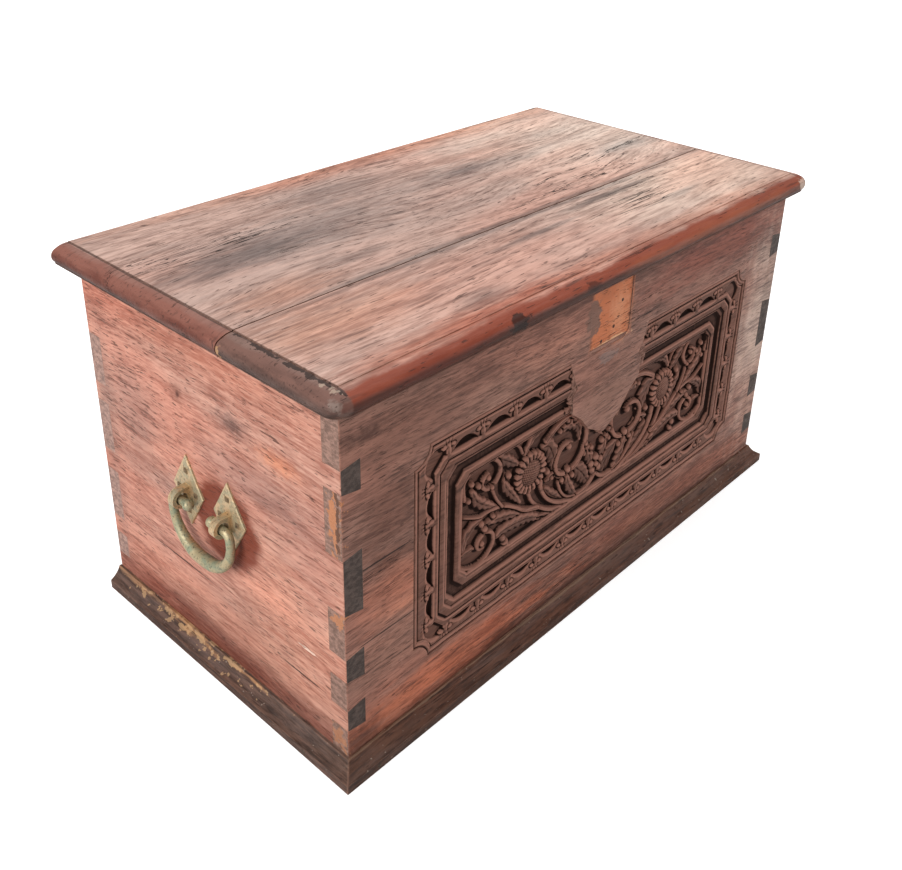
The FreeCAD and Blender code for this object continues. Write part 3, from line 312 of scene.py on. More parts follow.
class Relief:
    """Heights above the field's ground over a grid of places, in millimetres."""

    def __init__(self, across, up):
        self.across, self.up = across, up
        self.height = np.zeros_like(across)

    def window(self, low, high):
        """The part of the grid that holds a box of places."""
        rows = np.where((self.up[:, 0] >= low[1]) & (self.up[:, 0] <= high[1]))[0]
        columns = np.where((self.across[0] >= low[0]) & (self.across[0] <= high[0]))[0]
        if not len(rows) or not len(columns):
            return None
        return slice(rows[0], rows[-1] + 1), slice(columns[0], columns[-1] + 1)

    def lay(self, where, edge, height):
        """Lays a shape over the relief: edge is the distance outside its outline, and a groove rings it."""
        below = self.height[where] * np.where(edge > 0, 0.15 + 0.85 * smoothstep(edge / 1.5), 0.0)
        rounded = np.sqrt(np.clip(-edge / 1.3, 0, 1))
        self.height[where] = np.maximum(below, height * (0.35 * (edge < 0) + 0.65 * rounded) * (edge < 0))

    def follow(self, points, reach):
        """Window round a path, the distance from it, the share of its length and the signed side."""
        path = smooth_path(points, 14 * len(points))
        where = self.window(path.min(0) - reach, path.max(0) + reach)
        if where is None:
            return None
        x, y = self.across[where][..., None], self.up[where][..., None]
        start, step = path[:-1], np.diff(path, axis=0)
        length = np.hypot(step[:, 0], step[:, 1])
        share = ((x - start[:, 0]) * step[:, 0] + (y - start[:, 1]) * step[:, 1]) / length**2
        share = np.clip(share, 0, 1)
        dx, dy = x - start[:, 0] - share * step[:, 0], y - start[:, 1] - share * step[:, 1]
        away = np.hypot(dx, dy)
        best = away.argmin(-1)[..., None]
        run = np.concatenate([[0], np.cumsum(length)])
        along = (run[:-1] + share * length) / run[-1]
        side = step[:, 0] * dy - step[:, 1] * dx
        take = [np.take_along_axis(v, best, -1)[..., 0] for v in (away, along, side)]
        return where, take[0], take[1], np.sign(take[2]), run[-1]

    def stem(self, points, start, end, height):
        """A rounded band with a shallow channel along its middle."""
        found = self.follow(points, max(start, end) + 3)
        if found is None:
            return
        where, away, along, _, _ = found
        half = start + (end - start) * along
        channel = 0.22 * np.clip(1 - (away / half / 0.7) ** 2, 0, 1)
        self.lay(where, away - half, height * (1 - channel))

    def leaf(self, points, half, height):
        """A blade that swells and narrows along its midrib, with slanting veins."""
        found = self.follow(points, half + 3)
        if found is None:
            return
        where, away, along, side, length = found
        swell = half * (0.30 + 0.70 * np.sin(np.pi * np.clip(along * 0.85 + 0.12, 0, 1)))
        veins = np.cos((along * length - away * 1.1) * 0.72)
        swell = swell * (0.97 + 0.09 * veins)
        midrib = np.exp(-((away / 0.9) ** 2))
        dome = 1 - 0.26 * (away / np.maximum(swell, 0.1)) ** 2
        curl = 0.55 * side * away / half
        self.lay(where, away - swell, height * dome - 0.6 * midrib + 0.12 * veins + curl)

    def lobe(self, across, up, radius, height):
        """A domed disc."""
        where = self.window((across - radius - 3, up - radius - 3), (across + radius + 3, up + radius + 3))
        if where is None:
            return
        away = np.hypot(self.across[where] - across, self.up[where] - up)
        self.lay(where, away - radius, height * (1 - 0.3 * (away / radius) ** 2))

    def sunflower(self, across, up, radius, petals, height):
        """Ring of pointed petals round a cross-hatched disc."""
        where = self.window((across - radius - 3, up - radius - 3), (across + radius + 3, up + radius + 3))
        if where is None:
            return
        dx, dy = self.across[where] - across, self.up[where] - up
        away, turn = np.hypot(dx, dy), np.arctan2(dy, dx)
        wave = np.abs(np.cos(turn * petals / 2))
        outline = radius * (0.86 + 0.14 * np.sqrt(wave))
        disc = radius * 0.60
        ring = height * (0.72 + 0.28 * wave) - 1.2 * np.exp(-(((away - disc) / 0.9) ** 2))
        hatch = np.cos((dx * 0.85 + dy * 0.5) * 1.9) * np.cos((dx * 0.5 - dy * 0.85) * 1.9)
        middle = height * (1.0 - 0.25 * (away / disc) ** 2) + 0.55 * hatch
        self.lay(where, away - outline, np.where(away < disc, middle, ring))

    def rosette(self, across, up, height):
        """Five round petals about a boss."""
        for k in range(5):
            turn = math.pi / 2 + k * math.tau / 5
            self.lobe(across + 7.0 * math.cos(turn), up + 7.0 * math.sin(turn), 4.6, height)
        self.lobe(across, up, 3.2, height + 0.6)


def section(distance, steps):
    """Depth at each distance, straight between the given steps."""
    return np.interp(distance, [s[0] for s in steps], [s[1] for s in steps])


def nearest(values, first, pitch, count):
    """Signed distance of each value from the nearest of a row of evenly spaced places."""
    return values - first - pitch * np.clip(np.round((values - first) / pitch), 0, count - 1)


class Panel:
    """Places of the carved panel in millimetres, read from the carved board's node."""

    def __init__(self):
        low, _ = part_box("front_board")
        self.face = low.y / MM
        self.foot = low.z / MM + PANEL_FOOT
        self.head = self.foot + PANEL_HEIGHT
        self.left, self.right = PANEL_MIDDLE - PANEL_HALF, PANEL_MIDDLE + PANEL_HALF
        self.rail_start = PANEL_MIDDLE - RAIL_SHIFT - RAIL_PITCH * (RAIL_COUNT - 1) / 2
        self.side_start = (self.foot + self.head) / 2 - SIDE_SHIFT - SIDE_PITCH * (SIDE_COUNT - 1) / 2

    def inwards(self, x, z):
        """Distances inwards from the nearer side and from the nearer rail of the panel."""
        return np.minimum(x - self.left, self.right - x), np.minimum(z - self.foot, self.head - z)

    def inside(self, x, z):
        """Distance inwards from the panel's notched outline."""
        side, rail = self.inwards(x, z)
        return np.minimum(np.minimum(side, rail), np.hypot(side, rail) - PANEL_NOTCH)

    def past_border(self, x, z):
        """Distances inwards past the border, from the frame's nearer side and from its nearer rail."""
        side, rail = self.inwards(x, z)
        return side - FRAME_SIDE, rail - FRAME_RAIL

    def within_frame(self, x, z):
        """Distance inwards from the clipped outer edge of the moulded frame."""
        side, rail = self.past_border(x, z)
        return np.minimum(np.minimum(side, rail), (side + rail - FRAME_CLIP) / 2)

    def scallops(self, x, z):
        """Distance inside the nearest scallop of the rails or of the sides, positive in its hollow."""
        side, rail = self.past_border(x, z)
        along_rail = nearest(x, self.rail_start, RAIL_PITCH, RAIL_COUNT)
        along_side = nearest(z, self.side_start, SIDE_PITCH, SIDE_COUNT)
        deep_rail = SCALLOP_RADIUS - np.hypot(along_rail, rail - SCALLOP_SINK)
        deep_side = SCALLOP_RADIUS - np.hypot(along_side, side - SCALLOP_SINK)
        return np.maximum(deep_rail, deep_side)

    def board_depth(self, x, z):
        """Depth of the board's own sunk surfaces, never deeper than at places close by."""
        shallow, near = np.full_like(x, np.inf), 0.8
        for dx, dz in ((-near, 0), (near, 0), (0, -near), (0, near)):
            frame_in = self.within_frame(x + dx, z + dz)
            border = np.where(self.scallops(x + dx, z + dz) > 0, BOARD_SCALLOP, BOARD_BORDER)
            border = np.where(self.inside(x + dx, z + dz) < BOARD_FILLET, BOARD_FILLET_DEPTH, border)
            steps = [frame_in < edge for edge, _ in BOARD_FRAME]
            frame_depth = np.select(steps, [depth for _, depth in BOARD_FRAME], BOARD_FIELD)
            shallow = np.minimum(shallow, np.where(frame_in > 0, frame_depth, border))
        return shallow


def bud_distance(across, out):
    """Distance outside a trefoil bud: an oval tip, two oval wings that slant outwards, and a square neck."""
    tip = (np.hypot(across / 3.0, (out - 3.8) / 4.2) - 1) * 3.0
    wings = (np.hypot((np.abs(across) - 5.2 + 0.25 * (out - 9)) / 3.0, (out - 8.6) / 2.0) - 1) * 2.0
    neck = np.maximum(np.abs(across) - 2.0, np.abs(out - 8.0) - 3.0)
    return np.minimum(np.minimum(tip, wings), neck)


def border_depth(panel, x, z):
    """The sloping border with its scallop hollows, and between them a trefoil bud and three nicks."""
    side, rail = panel.past_border(x, z)
    corner = 14.5 - np.hypot(side - 2.5, rail - 2.6)
    depth = section(panel.inside(x, z), BORDER_STEPS)
    depth = depth + 3.6 * smoothstep(panel.scallops(x, z) / 2.6) + 2.6 * smoothstep(corner / 3.0)
    for value, first, pitch, count, out, other in (
        (x, panel.rail_start, RAIL_PITCH, RAIL_COUNT, -rail, -side),
        (z, panel.side_start, SIDE_PITCH, SIDE_COUNT, -side, -rail),
    ):
        across = nearest(value, first - pitch / 2, pitch, count + 1)
        here = (out > 0) & (other < -2)
        bud = bud_distance(across, out)
        depth = np.where(here & (bud > 0), depth + 0.9 * smoothstep(1 - bud / 1.2), depth)
        depth = np.where(here & (bud < 0), 1.3 - 0.9 * np.sqrt(np.clip(-bud / 2.2, 0, 1)), depth)
        nick = np.abs(np.abs(across) - 3.4 - 0.35 * (out - 13)) - 0.6
        nick = np.minimum(nick, np.abs(across) - 0.6)
        depth = np.where(here & (np.abs(out - 13.2) < 2.4) & (nick < 0), depth + 0.5, depth)
    return depth


def scroll_heights(settings, x, z, panel):
    """Heights of the scroll carving above the field; the right half mirrors the left and sits further out."""
    total = np.zeros_like(x)
    up = z - panel.foot - FIELD_FOOT
    for hand in (-1, 1):
        across = (x - settings.axis) * -hand
        if hand > 0:
            across = across + SPREAD * np.exp(-(((np.abs(across) - SPREAD_PLACE) / SPREAD_REACH) ** 2))
            across = across[:, ::-1]
        relief = Relief(across, up)
        for leaf in LEAVES:
            relief.leaf(*leaf)
        for stem in STEMS:
            relief.stem(*stem)
        for lobe in LOBES:
            relief.lobe(*lobe)
        relief.sunflower(*SUNFLOWER, settings.petals, 6.2)
        relief.rosette(*ROSETTE, 5.6)
        height = relief.height if hand < 0 else relief.height[:, ::-1]
        total = np.where((x - settings.axis) * hand > 0, height, total)
    return total


def torn_edge(x, z):
    """Distance outside the plain tongue at the panel's top, less a ragged fringe of unbroken wood."""
    away = np.abs(x - TONGUE_MIDDLE)
    low = TONGUE_TIP + (TONGUE_SHOULDER - TONGUE_TIP) * np.clip(away / (TONGUE_HALF - 8.0), 0, 1)
    outside = np.maximum(away - TONGUE_HALF + 6.0, (low - z) * 0.7)
    return outside - 9.0 * value_noise(x / 3.2, z / 2.4, 21) * value_noise(x / 9.0, z / 7.0, 5)


def carved_depth(settings, panel, x, z):
    """Depth of the whole carved surface below the board's face."""
    frame_in = panel.within_frame(x, z)
    depth = np.where(frame_in > 0, section(frame_in, FRAME_STEPS), border_depth(panel, x, z))
    depth = np.where(frame_in > FRAME_WIDTH, FIELD_DEPTH - scroll_heights(settings, x, z, panel), depth)
    marks = value_noise(x / 2.3, z / 2.0, 7) + 0.6 * value_noise(x / 0.9, z / 5.0, 11) - 0.8
    wobble = value_noise(x / 11, z / 9, 3) - 0.5
    depth = depth + settings.tool_marks * marks + 0.35 * wobble
    fringe = 0.2 + 0.5 * value_noise(x / 1.6, z / 1.1, 31)
    depth = np.where(torn_edge(x, z) < 0, np.minimum(depth, fringe), depth)
    return np.clip(np.minimum(depth, panel.board_depth(x, z) - settings.clearance), LEAST_DEPTH, None)


def groove_share(panel, x, z, depth):
    """Share of painted shade and old dirt: 0.5 on a flat, more below the mean of the places round it and in
    the scallops.
    """
    frame_in = panel.within_frame(x, z)
    share = 0.5 + (depth - box_blur(depth, 2)) / 3.0 + (depth - box_blur(depth, 7)) / 24.0
    # Extra painted shade in the frame's sunk hollow, along the whole frame, and in the scallop bowls of the
    # border.
    share += 0.04 * ((frame_in > FRAME_HOLLOW[0]) & (frame_in < FRAME_HOLLOW[1]))
    share += 0.05 * ((frame_in > 0) & (frame_in < FRAME_WIDTH))
    bowls = smoothstep((panel.scallops(x, z) - 0.2) / 1.5)
    share += 0.50 * bowls * (frame_in < 0) * smoothstep((depth - 1.8) / 1.0)
    return np.clip(share, 0, 1)


def slab(name, x, z, depth, face):
    """Closed slab whose front is the carved surface and whose back lies inside the board."""
    rows, columns = x.shape
    front = np.stack([x, face + depth, z], -1).reshape(-1, 3)
    rim = np.concatenate([
        np.arange(columns),
        np.arange(1, rows) * columns + columns - 1,
        (rows - 1) * columns + np.arange(columns - 2, -1, -1),
        np.arange(rows - 2, 0, -1) * columns,
    ])
    behind = front[rim].copy()
    behind[:, 1] = face + SLAB_BACK
    first = rows * columns
    ring = np.arange(len(rim))
    after = np.roll(ring, -1)
    sides = np.stack([rim[after], rim[ring], first + ring, first + after], -1)
    quads = np.vstack([grid_quads(rows, columns), sides])
    points = np.vstack([front, behind]) * MM
    made = new_object(name, points, quads, [first + ring[::-1]])
    return made, len(rim)


class CHEST_OT_carving(bpy.types.Operator):
    """Carve the sunk panel of the front"""

    bl_idname = "chest.carving"
    bl_label = "Carved panel"

    def execute(self, context):
        settings = context.scene.chest_carving
        panel = Panel()
        pitch = settings.pitch
        across = np.arange(panel.left - PANEL_RIM, panel.right + PANEL_RIM + pitch, pitch)
        x, z = np.meshgrid(across, np.arange(panel.foot - PANEL_RIM, panel.head + PANEL_RIM + pitch, pitch))
        depth = carved_depth(settings, panel, x, z)
        # groove carries the share of painted shade and old dirt, and below 0.5 the painted highlight on
        # ridges; sunk darkens deep places as painted shade.
        values = {
            "sunk": depth / BOARD_FIELD,
            "groove": groove_share(panel, x, z, depth),
            "plain": smoothstep(0.5 - torn_edge(x, z)),
        }
        cuts = np.linspace(0, len(across) - 1, SLABS + 1).astype(int)
        for k in range(SLABS):
            part = slice(cuts[k], cuts[k + 1] + 1)
            made, extra = slab(f"carving_{k + 1}", x[:, part], z[:, part], depth[:, part], panel.face)
            for label, value in values.items():
                point_values(made, label, np.concatenate([value[:, part].ravel(), np.zeros(extra)]))
            made.data.materials.append(carved_material(context.scene.chest_wood))
            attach(made, "carcass")
        return {"FINISHED"}


def box_blur(values, reach):
    """Running mean over a square of places."""
    for axis in (0, 1):
        padded = np.concatenate([np.repeat(values.take([0], axis), reach, axis), values,
                                 np.repeat(values.take([-1], axis), reach + 1, axis)], axis)
        total = np.cumsum(padded, axis)
        size = 2 * reach + 1
        count = values.shape[axis]
        values = (total.take(range(size, size + count), axis) - total.take(range(count), axis)) / size
    return values


# Shader helpers


def add(tree, kind, links=None, **settings):
    """A node with its settings; links maps an input's name or number to a value or to a socket."""
    node = tree.nodes.new(kind)
    for key, value in settings.items():
        setattr(node, key, value)
    for key, value in (links or {}).items():
        if isinstance(value, bpy.types.NodeSocket):
            tree.links.new(value, node.inputs[key])
        else:
            node.inputs[key].default_value = value
    return node


def maths(tree, operation, first, second=0.0, third=0.0):
    """Output of a Math node."""
    return add(tree, "ShaderNodeMath", {0: first, 1: second, 2: third}, operation=operation).outputs[0]


def vector_maths(tree, operation, *values):
    """Output of a Vector Math node: a number for a length or a dot product, otherwise a vector."""
    node = add(tree, "ShaderNodeVectorMath", dict(enumerate(values)), operation=operation)
    return node.outputs["Value" if operation in ("LENGTH", "DOT_PRODUCT") else "Vector"]


def apart(tree, vector):
    """The three numbers of a vector."""
    return add(tree, "ShaderNodeSeparateXYZ", {0: vector}).outputs


def mixed(tree, factor, first, second, kind="MIX"):
    """Colour output of a Mix node; colours are sockets or three numbers."""
    node = add(tree, "ShaderNodeMix", {0: factor}, data_type="RGBA", blend_type=kind)
    for index, colour in ((6, first), (7, second)):
        if isinstance(colour, bpy.types.NodeSocket):
            tree.links.new(colour, node.inputs[index])
        else:
            node.inputs[index].default_value = (*colour, 1)
    return node.outputs[2]


def laid(tree, colour, mask, strength, tone, kind="MIX"):
    """Lays a tone over a colour where the mask is, at a strength."""
    return mixed(tree, maths(tree, "MULTIPLY", mask, strength), colour, tone, kind)


def remap(tree, value, low, high, out_low=0.0, out_high=1.0):
    """Clamped, eased change of range."""
    links = {"Value": value, "From Min": low, "From Max": high, "To Min": out_low, "To Max": out_high}
    return add(tree, "ShaderNodeMapRange", links, interpolation_type="SMOOTHSTEP").outputs[0]


def noise(tree, vector, scale, detail=3.0, rough=0.5, distortion=0.0):
    """Value of a Noise texture."""
    links = {"Vector": vector, "Scale": scale, "Detail": detail, "Roughness": rough, "Distortion": distortion}
    return add(tree, "ShaderNodeTexNoise", links).outputs[0]


def stretched(tree, vector, scale, offset=(0, 0, 0)):
    """Vector scaled by three numbers."""
    return add(tree, "ShaderNodeMapping", {"Vector": vector, "Scale": scale, "Location": offset}).outputs[0]


def long_noise(tree, vector, scale, offset, detail, rough=0.5, distortion=0.0):
    """Value of a Noise texture with a scale of its own along each axis."""
    return noise(tree, stretched(tree, vector, scale, offset), 1.0, detail, rough, distortion)


def new_group(name, inputs, outputs):
    """A node group with its sockets, and the output sockets of its inputs."""
    group = bpy.data.node_groups.new(name, "ShaderNodeTree")
    for label, kind, value in inputs:
        made = group.interface.new_socket(label, in_out="INPUT", socket_type=f"NodeSocket{kind}")
        if value is not None:
            made.default_value = value
    for label, kind in outputs:
        group.interface.new_socket(label, in_out="OUTPUT", socket_type=f"NodeSocket{kind}")
    entry = group.nodes.new("NodeGroupInput")
    return group, {label: entry.outputs[label] for label, _, _ in inputs}


def finish_group(group, values):
    """Joins the group's results to its outputs."""
    add(group, "NodeGroupOutput", values)
    return group


def grain_group():
    """Timber grain along X: flowing figure, long dark streaks, pores, cracks and a height."""
    if "Timber grain" in bpy.data.node_groups:
        return bpy.data.node_groups["Timber grain"]
    group, given = new_group(
        "Timber grain",
        (("Vector", "Vector", None), ("Pore amount", "Float", 0.5), ("Crack amount", "Float", 0.4),
         ("Flow", "Float", 0.03)),
        [(name, "Float") for name in ("Figure", "Streaks", "Pores", "Cracks", "Height")],
    )
    vector = given["Vector"]
    slow = stretched(group, vector, (2.2, 6, 6))
    drift = add(group, "ShaderNodeTexNoise", {"Vector": slow, "Scale": 1.0, "Detail": 2.0}).outputs[1]
    drift = vector_maths(group, "SUBTRACT", drift, (0.5, 0.5, 0.5))
    amount = add(group, "ShaderNodeCombineXYZ", {1: given["Flow"], 2: given["Flow"]}).outputs[0]
    bent = vector_maths(group, "MULTIPLY_ADD", drift, amount, vector)
    none = (0, 0, 0)
    bands = long_noise(group, bent, (1.6, 30, 30), none, 4.0, 0.55)
    streaks = long_noise(group, bent, (20, 230, 230), (3, 1, 7), 3.0, 0.6)
    fibre = long_noise(group, bent, (60, 620, 620), none, 2.0, 0.6)
    pores = long_noise(group, bent, (60, 560, 560), (1, 5, 2), 1.5)
    patch = long_noise(group, vector, (5, 14, 14), (8, 2, 4), 2.0)
    tone = maths(group, "MULTIPLY_ADD", streaks, 0.40, maths(group, "MULTIPLY", fibre, 0.30))
    tone = maths(group, "MULTIPLY_ADD", bands, 0.30, tone)
    least = maths(group, "MULTIPLY_ADD", given["Pore amount"], -0.15, 0.82)
    least = maths(group, "MULTIPLY_ADD", patch, -0.14, least)
    pore = remap(group, maths(group, "SUBTRACT", pores, least), 0.0, 0.06)
    low = remap(group, maths(group, "MULTIPLY_ADD", patch, -0.12, streaks), 0.350, 0.245)
    low = maths(group, "MULTIPLY", low, remap(group, patch, 0.40, 0.60, 0.30, 1.0))
    lines = long_noise(group, bent, (2.6, 80, 80), (4, 9, 1), 4.0, 0.6)
    crack = remap(group, maths(group, "ABSOLUTE", maths(group, "SUBTRACT", lines, 0.5)), 0.011, 0.003)
    where = long_noise(group, vector, (3, 16, 16), (2, 6, 9), 2.0)
    bound = maths(group, "MULTIPLY_ADD", given["Crack amount"], -0.35, 0.75)
    crack = maths(group, "MULTIPLY", crack, remap(group, maths(group, "SUBTRACT", where, bound), 0.0, 0.06))
    height = maths(group, "MULTIPLY_ADD", fibre, 0.2, maths(group, "MULTIPLY", streaks, 0.6))
    height = maths(group, "MULTIPLY_ADD", pore, -0.5, height)
    height = maths(group, "MULTIPLY_ADD", crack, -1.2, height)
    figure = remap(group, tone, 0.39, 0.59)
    return finish_group(group, {
        "Figure": figure, "Streaks": low, "Pores": pore, "Cracks": crack, "Height": height,
    })


def wear_group():
    """Rubbed edges found from a rounded normal, broken up by noise; on timber they also serve as painted
    highlight.
    """
    if "Edge wear" in bpy.data.node_groups:
        return bpy.data.node_groups["Edge wear"]
    group, given = new_group(
        "Edge wear", (("Vector", "Vector", None), ("Radius", "Float", 0.002), ("Breakup", "Float", 60.0)),
        (("Edge", "Float"),),
    )
    bevel = add(group, "ShaderNodeBevel", {"Radius": given["Radius"]}, samples=4).outputs[0]
    plain = add(group, "ShaderNodeNewGeometry").outputs["Normal"]
    edge = remap(group, vector_maths(group, "DOT_PRODUCT", bevel, plain), 0.995, 0.86)
    breakup = noise(group, given["Vector"], given["Breakup"], 4.0, 0.6)
    return finish_group(group, {"Edge": maths(group, "MULTIPLY", edge, remap(group, breakup, 0.32, 0.58))})


def stain_group():
    """Old polish, dark hand stains and weathered patches at two sizes."""
    if "Stains" in bpy.data.node_groups:
        return bpy.data.node_groups["Stains"]
    group, given = new_group(
        "Stains", (("Vector", "Vector", None),), [(name, "Float") for name in ("Dark", "Weathered", "Spots")],
    )
    vector = given["Vector"]
    dark = long_noise(group, vector, (4, 16, 16), (5, 3, 8), 7.0, 0.68, 0.3)
    weathered = long_noise(group, vector, (6, 44, 44), (1, 7, 3), 7.0, 0.68, 0.2)
    spots = long_noise(group, vector, (45, 110, 110), (9, 2, 5), 3.0, 0.6)
    return finish_group(group, {
        "Dark": remap(group, dark, 0.50, 0.72),
        "Weathered": remap(group, weathered, 0.44, 0.66),
        "Spots": remap(group, spots, 0.66, 0.76),
    })


def mark_group():
    """A ragged ellipsoid mark: one inside, nought outside."""
    if "Mark" in bpy.data.node_groups:
        return bpy.data.node_groups["Mark"]
    group, given = new_group(
        "Mark",
        (("Vector", "Vector", None), ("Centre", "Vector", None), ("Radii", "Vector", (0.01, 0.01, 0.01)),
         ("Raggedness", "Float", 0.4), ("Squareness", "Float", 0.0), ("Softness", "Float", 0.0),
         ("Detail size", "Vector", (120.0, 120.0, 120.0))),
        (("Mask", "Float"),),
    )
    away = vector_maths(group, "SUBTRACT", given["Vector"], given["Centre"])
    scaled = vector_maths(group, "DIVIDE", away, given["Radii"])
    length = vector_maths(group, "LENGTH", scaled)
    sides = apart(group, vector_maths(group, "ABSOLUTE", scaled))
    widest = maths(group, "MAXIMUM", maths(group, "MAXIMUM", sides[0], sides[1]), sides[2])
    excess = maths(group, "SUBTRACT", widest, length)
    length = maths(group, "MULTIPLY_ADD", excess, given["Squareness"], length)
    fine = vector_maths(group, "MULTIPLY", given["Vector"], given["Detail size"])
    ragged = maths(group, "SUBTRACT", noise(group, fine, 1.0, 4.0, 0.6), 0.5)
    ragged = maths(group, "MULTIPLY", maths(group, "MULTIPLY", ragged, given["Raggedness"]), 4.0)
    outer = maths(group, "ADD", 1.12, given["Softness"])
    inner = maths(group, "MULTIPLY_ADD", given["Softness"], -1.5, 0.82)
    return finish_group(group, {"Mask": remap(group, maths(group, "ADD", length, ragged), outer, inner)})


def use_group(tree, group, links):
    """Outputs of a group placed in a material."""
    return add(tree, "ShaderNodeGroup", links, node_tree=group).outputs


def new_material(name):
    """An empty material with its surface shader, or None if it was made before."""
    if name in bpy.data.materials:
        return bpy.data.materials[name], None, None
    material = bpy.data.materials.new(name)
    material.use_nodes = True
    tree = material.node_tree
    tree.nodes.clear()
    shader = tree.nodes.new("ShaderNodeBsdfPrincipled")
    out = tree.nodes.new("ShaderNodeOutputMaterial")
    tree.links.new(shader.outputs[0], out.inputs[0])
    return material, tree, shader


def object_place(tree):
    """Object coordinates."""
    return add(tree, "ShaderNodeTexCoord").outputs["Object"]


def along_grain(tree, along):
    """Object coordinates turned so that X runs along the grain."""
    place = object_place(tree)
    if along == "x":
        return place
    x, y, z = apart(tree, place)
    return add(tree, "ShaderNodeCombineXYZ", {0: y, 1: x, 2: z}).outputs[0]


# Marks: the centre and the half sizes in millimetres, a tone, a strength and a raggedness, and where they are
# wanted a squareness and a softness. A mark on a flat face has a place and half sizes along that face only.

REACH = 9
QUIRK = 320.5


def on_front(across, up, half, tall, *look):
    """A mark on the front face."""
    return (across, FRONT_FACE, up), (half, REACH, tall), *look


def on_left(across, up, half, tall, *look):
    """A mark on the face of the left end."""
    return (LEFT_FACE, across, up), (REACH, half, tall), *look


def on_top(across, back, half, deep, *look):
    """A mark on the flat of the lid."""
    return (across, back, LID_TOP), (half, deep, REACH), *look


def detail_sizes(radii, ragged):
    """Frequency of a mark's edge along each axis: slow along the longest side of a large mark."""
    slow = 24.0 if ragged < 1.5 else 110.0
    return [150.0 if r < 30 else slow if r == max(radii) else 90.0 for r in radii]


def marked(tree, colour, marks, kind="MIX", soft=0.0):
    """Lays the marks over a colour, one after another."""
    for centre, radii, tone, strength, ragged, *rest in marks:
        square, softness = rest + [0.0, soft][len(rest):]
        mask = use_group(tree, mark_group(), {
            "Vector": object_place(tree),
            "Centre": [c * MM for c in centre],
            "Radii": [r * MM for r in radii],
            "Raggedness": ragged,
            "Squareness": square,
            "Softness": softness,
            "Detail size": detail_sizes(radii, ragged),
        })["Mask"]
        colour = laid(tree, colour, mask, strength, tone, kind)
    return colour


# Materials

# Worn edges of the timber, which are also a painted highlight on the nosing's edges, and dust specks.
WORN_EDGE_AND_HIGHLIGHT, DUST = (0.42, 0.22, 0.15), (0.42, 0.34, 0.28)
SHADE_SOFTNESS = 0.45


def timber(name, wood, pale, deep, along="x", pores=0.5, cracks=0.4, flow=0.03, weathered=0.3, stains=0.4,
           rough=0.48, worn=0.5, seed=0.0, marks=(), shades=(), levels=(), ends=None, fine=1.0, streaks=0.5,
           dents=0.0, specks=0.0):
    """Timber: grain, stains, marks, worn edges and end grain in its own colour; levels tint it by height.
    Worn edges are also painted highlight, and some marks, shades and levels paint light and shade.
    """
    material, tree, shader = new_material(name)
    if tree is None:
        return material
    facing = apart(tree, add(tree, "ShaderNodeTexCoord").outputs["Normal"])
    vector = vector_maths(tree, "ADD", along_grain(tree, along), (seed, seed * 1.7, seed * 0.6))
    grain = use_group(tree, grain_group(), {
        "Vector": stretched(tree, vector, (fine, fine, fine)),
        "Pore amount": pores, "Crack amount": cracks, "Flow": flow,
    })
    stain = use_group(tree, stain_group(), {"Vector": vector})
    wear = use_group(tree, wear_group(), {"Vector": vector})
    warm = remap(tree, long_noise(tree, vector, (4, 11, 11), (2, 8, 5), 2.0), 0.38, 0.64)
    mottle = remap(tree, long_noise(tree, vector, (30, 70, 70), (6, 1, 4), 6.0, 0.7), 0.40, 0.62)
    colour = mixed(tree, grain["Figure"], deep, pale)
    colour = laid(tree, colour, warm, 0.6, (1.15, 0.90, 0.83), "MULTIPLY")
    colour = laid(tree, colour, mottle, 0.5, (0.74, 0.72, 0.72), "MULTIPLY")
    # Shades multiply the colour: mostly the timber's own patches, with some painted light and painted shadow
    # among them.
    colour = marked(tree, colour, shades, "MULTIPLY", SHADE_SOFTNESS)
    colour = laid(tree, colour, stain["Weathered"], weathered, wood.grey)
    # Levels tint by height, half as strongly on faces turned down; on the lid they give the nosing's red and
    # a painted shade below it.
    for low, high, tone, strength in levels:
        uneven = maths(tree, "SUBTRACT", noise(tree, vector, 22.0, 4.0, 0.6), 0.5)
        up = maths(tree, "MULTIPLY_ADD", uneven, 3.5 * MM, apart(tree, object_place(tree))[2])
        share = remap(tree, up, low * MM, high * MM, 0.0, strength)
        colour = laid(tree, colour, share, remap(tree, facing[2], -0.985, -0.9, 0.5, 1.0), tone)
    colour = marked(tree, colour, marks)
    for mask, strength, tone in (
        (stain["Dark"], stains, wood.dark),
        (stain["Spots"], 0.5 * stains, wood.dark),
        (grain["Streaks"], streaks, wood.dark),
        (grain["Pores"], 0.65, wood.dark),
        (grain["Cracks"], 1.0, wood.black),
        (wear["Edge"], worn, WORN_EDGE_AND_HIGHLIGHT),
    ):
        colour = laid(tree, colour, mask, strength, tone)
    chips = remap(tree, noise(tree, vector, 210.0, 3.0, 0.65), 0.665, 0.72, 0.0, specks)
    colour = mixed(tree, chips, colour, DUST)
    if ends is not None:
        cut = remap(tree, maths(tree, "ABSOLUTE", facing[0 if along == "x" else 1]), 0.75, 0.95)
        rings = remap(tree, long_noise(tree, vector, (150, 150, 260), (0, 0, 0), 4.0, 0.65), 0.36, 0.66)
        end_colour = mixed(tree, rings, [c * 0.60 for c in ends], [c * 1.20 for c in ends])
        at_left = [mark for mark in marks if mark[0][0] <= LEFT_FACE]
        colour = mixed(tree, cut, colour, marked(tree, end_colour, at_left))
    tree.links.new(colour, shader.inputs["Base Color"])
    shader.inputs["Specular IOR Level"].default_value = 0.12
    roughness = remap(tree, stain["Weathered"], 0.0, 1.0, rough, rough + 0.14)
    tree.links.new(maths(tree, "MULTIPLY_ADD", grain["Pores"], 0.2, roughness), shader.inputs["Roughness"])
    height = maths(tree, "MULTIPLY_ADD", noise(tree, vector, 55.0, 4.0, 0.55), dents, grain["Height"])
    bump = add(tree, "ShaderNodeBump", {"Height": height, "Strength": 0.7, "Distance": 1.5 * MM})
    tree.links.new(bump.outputs[0], shader.inputs["Normal"])
    return material


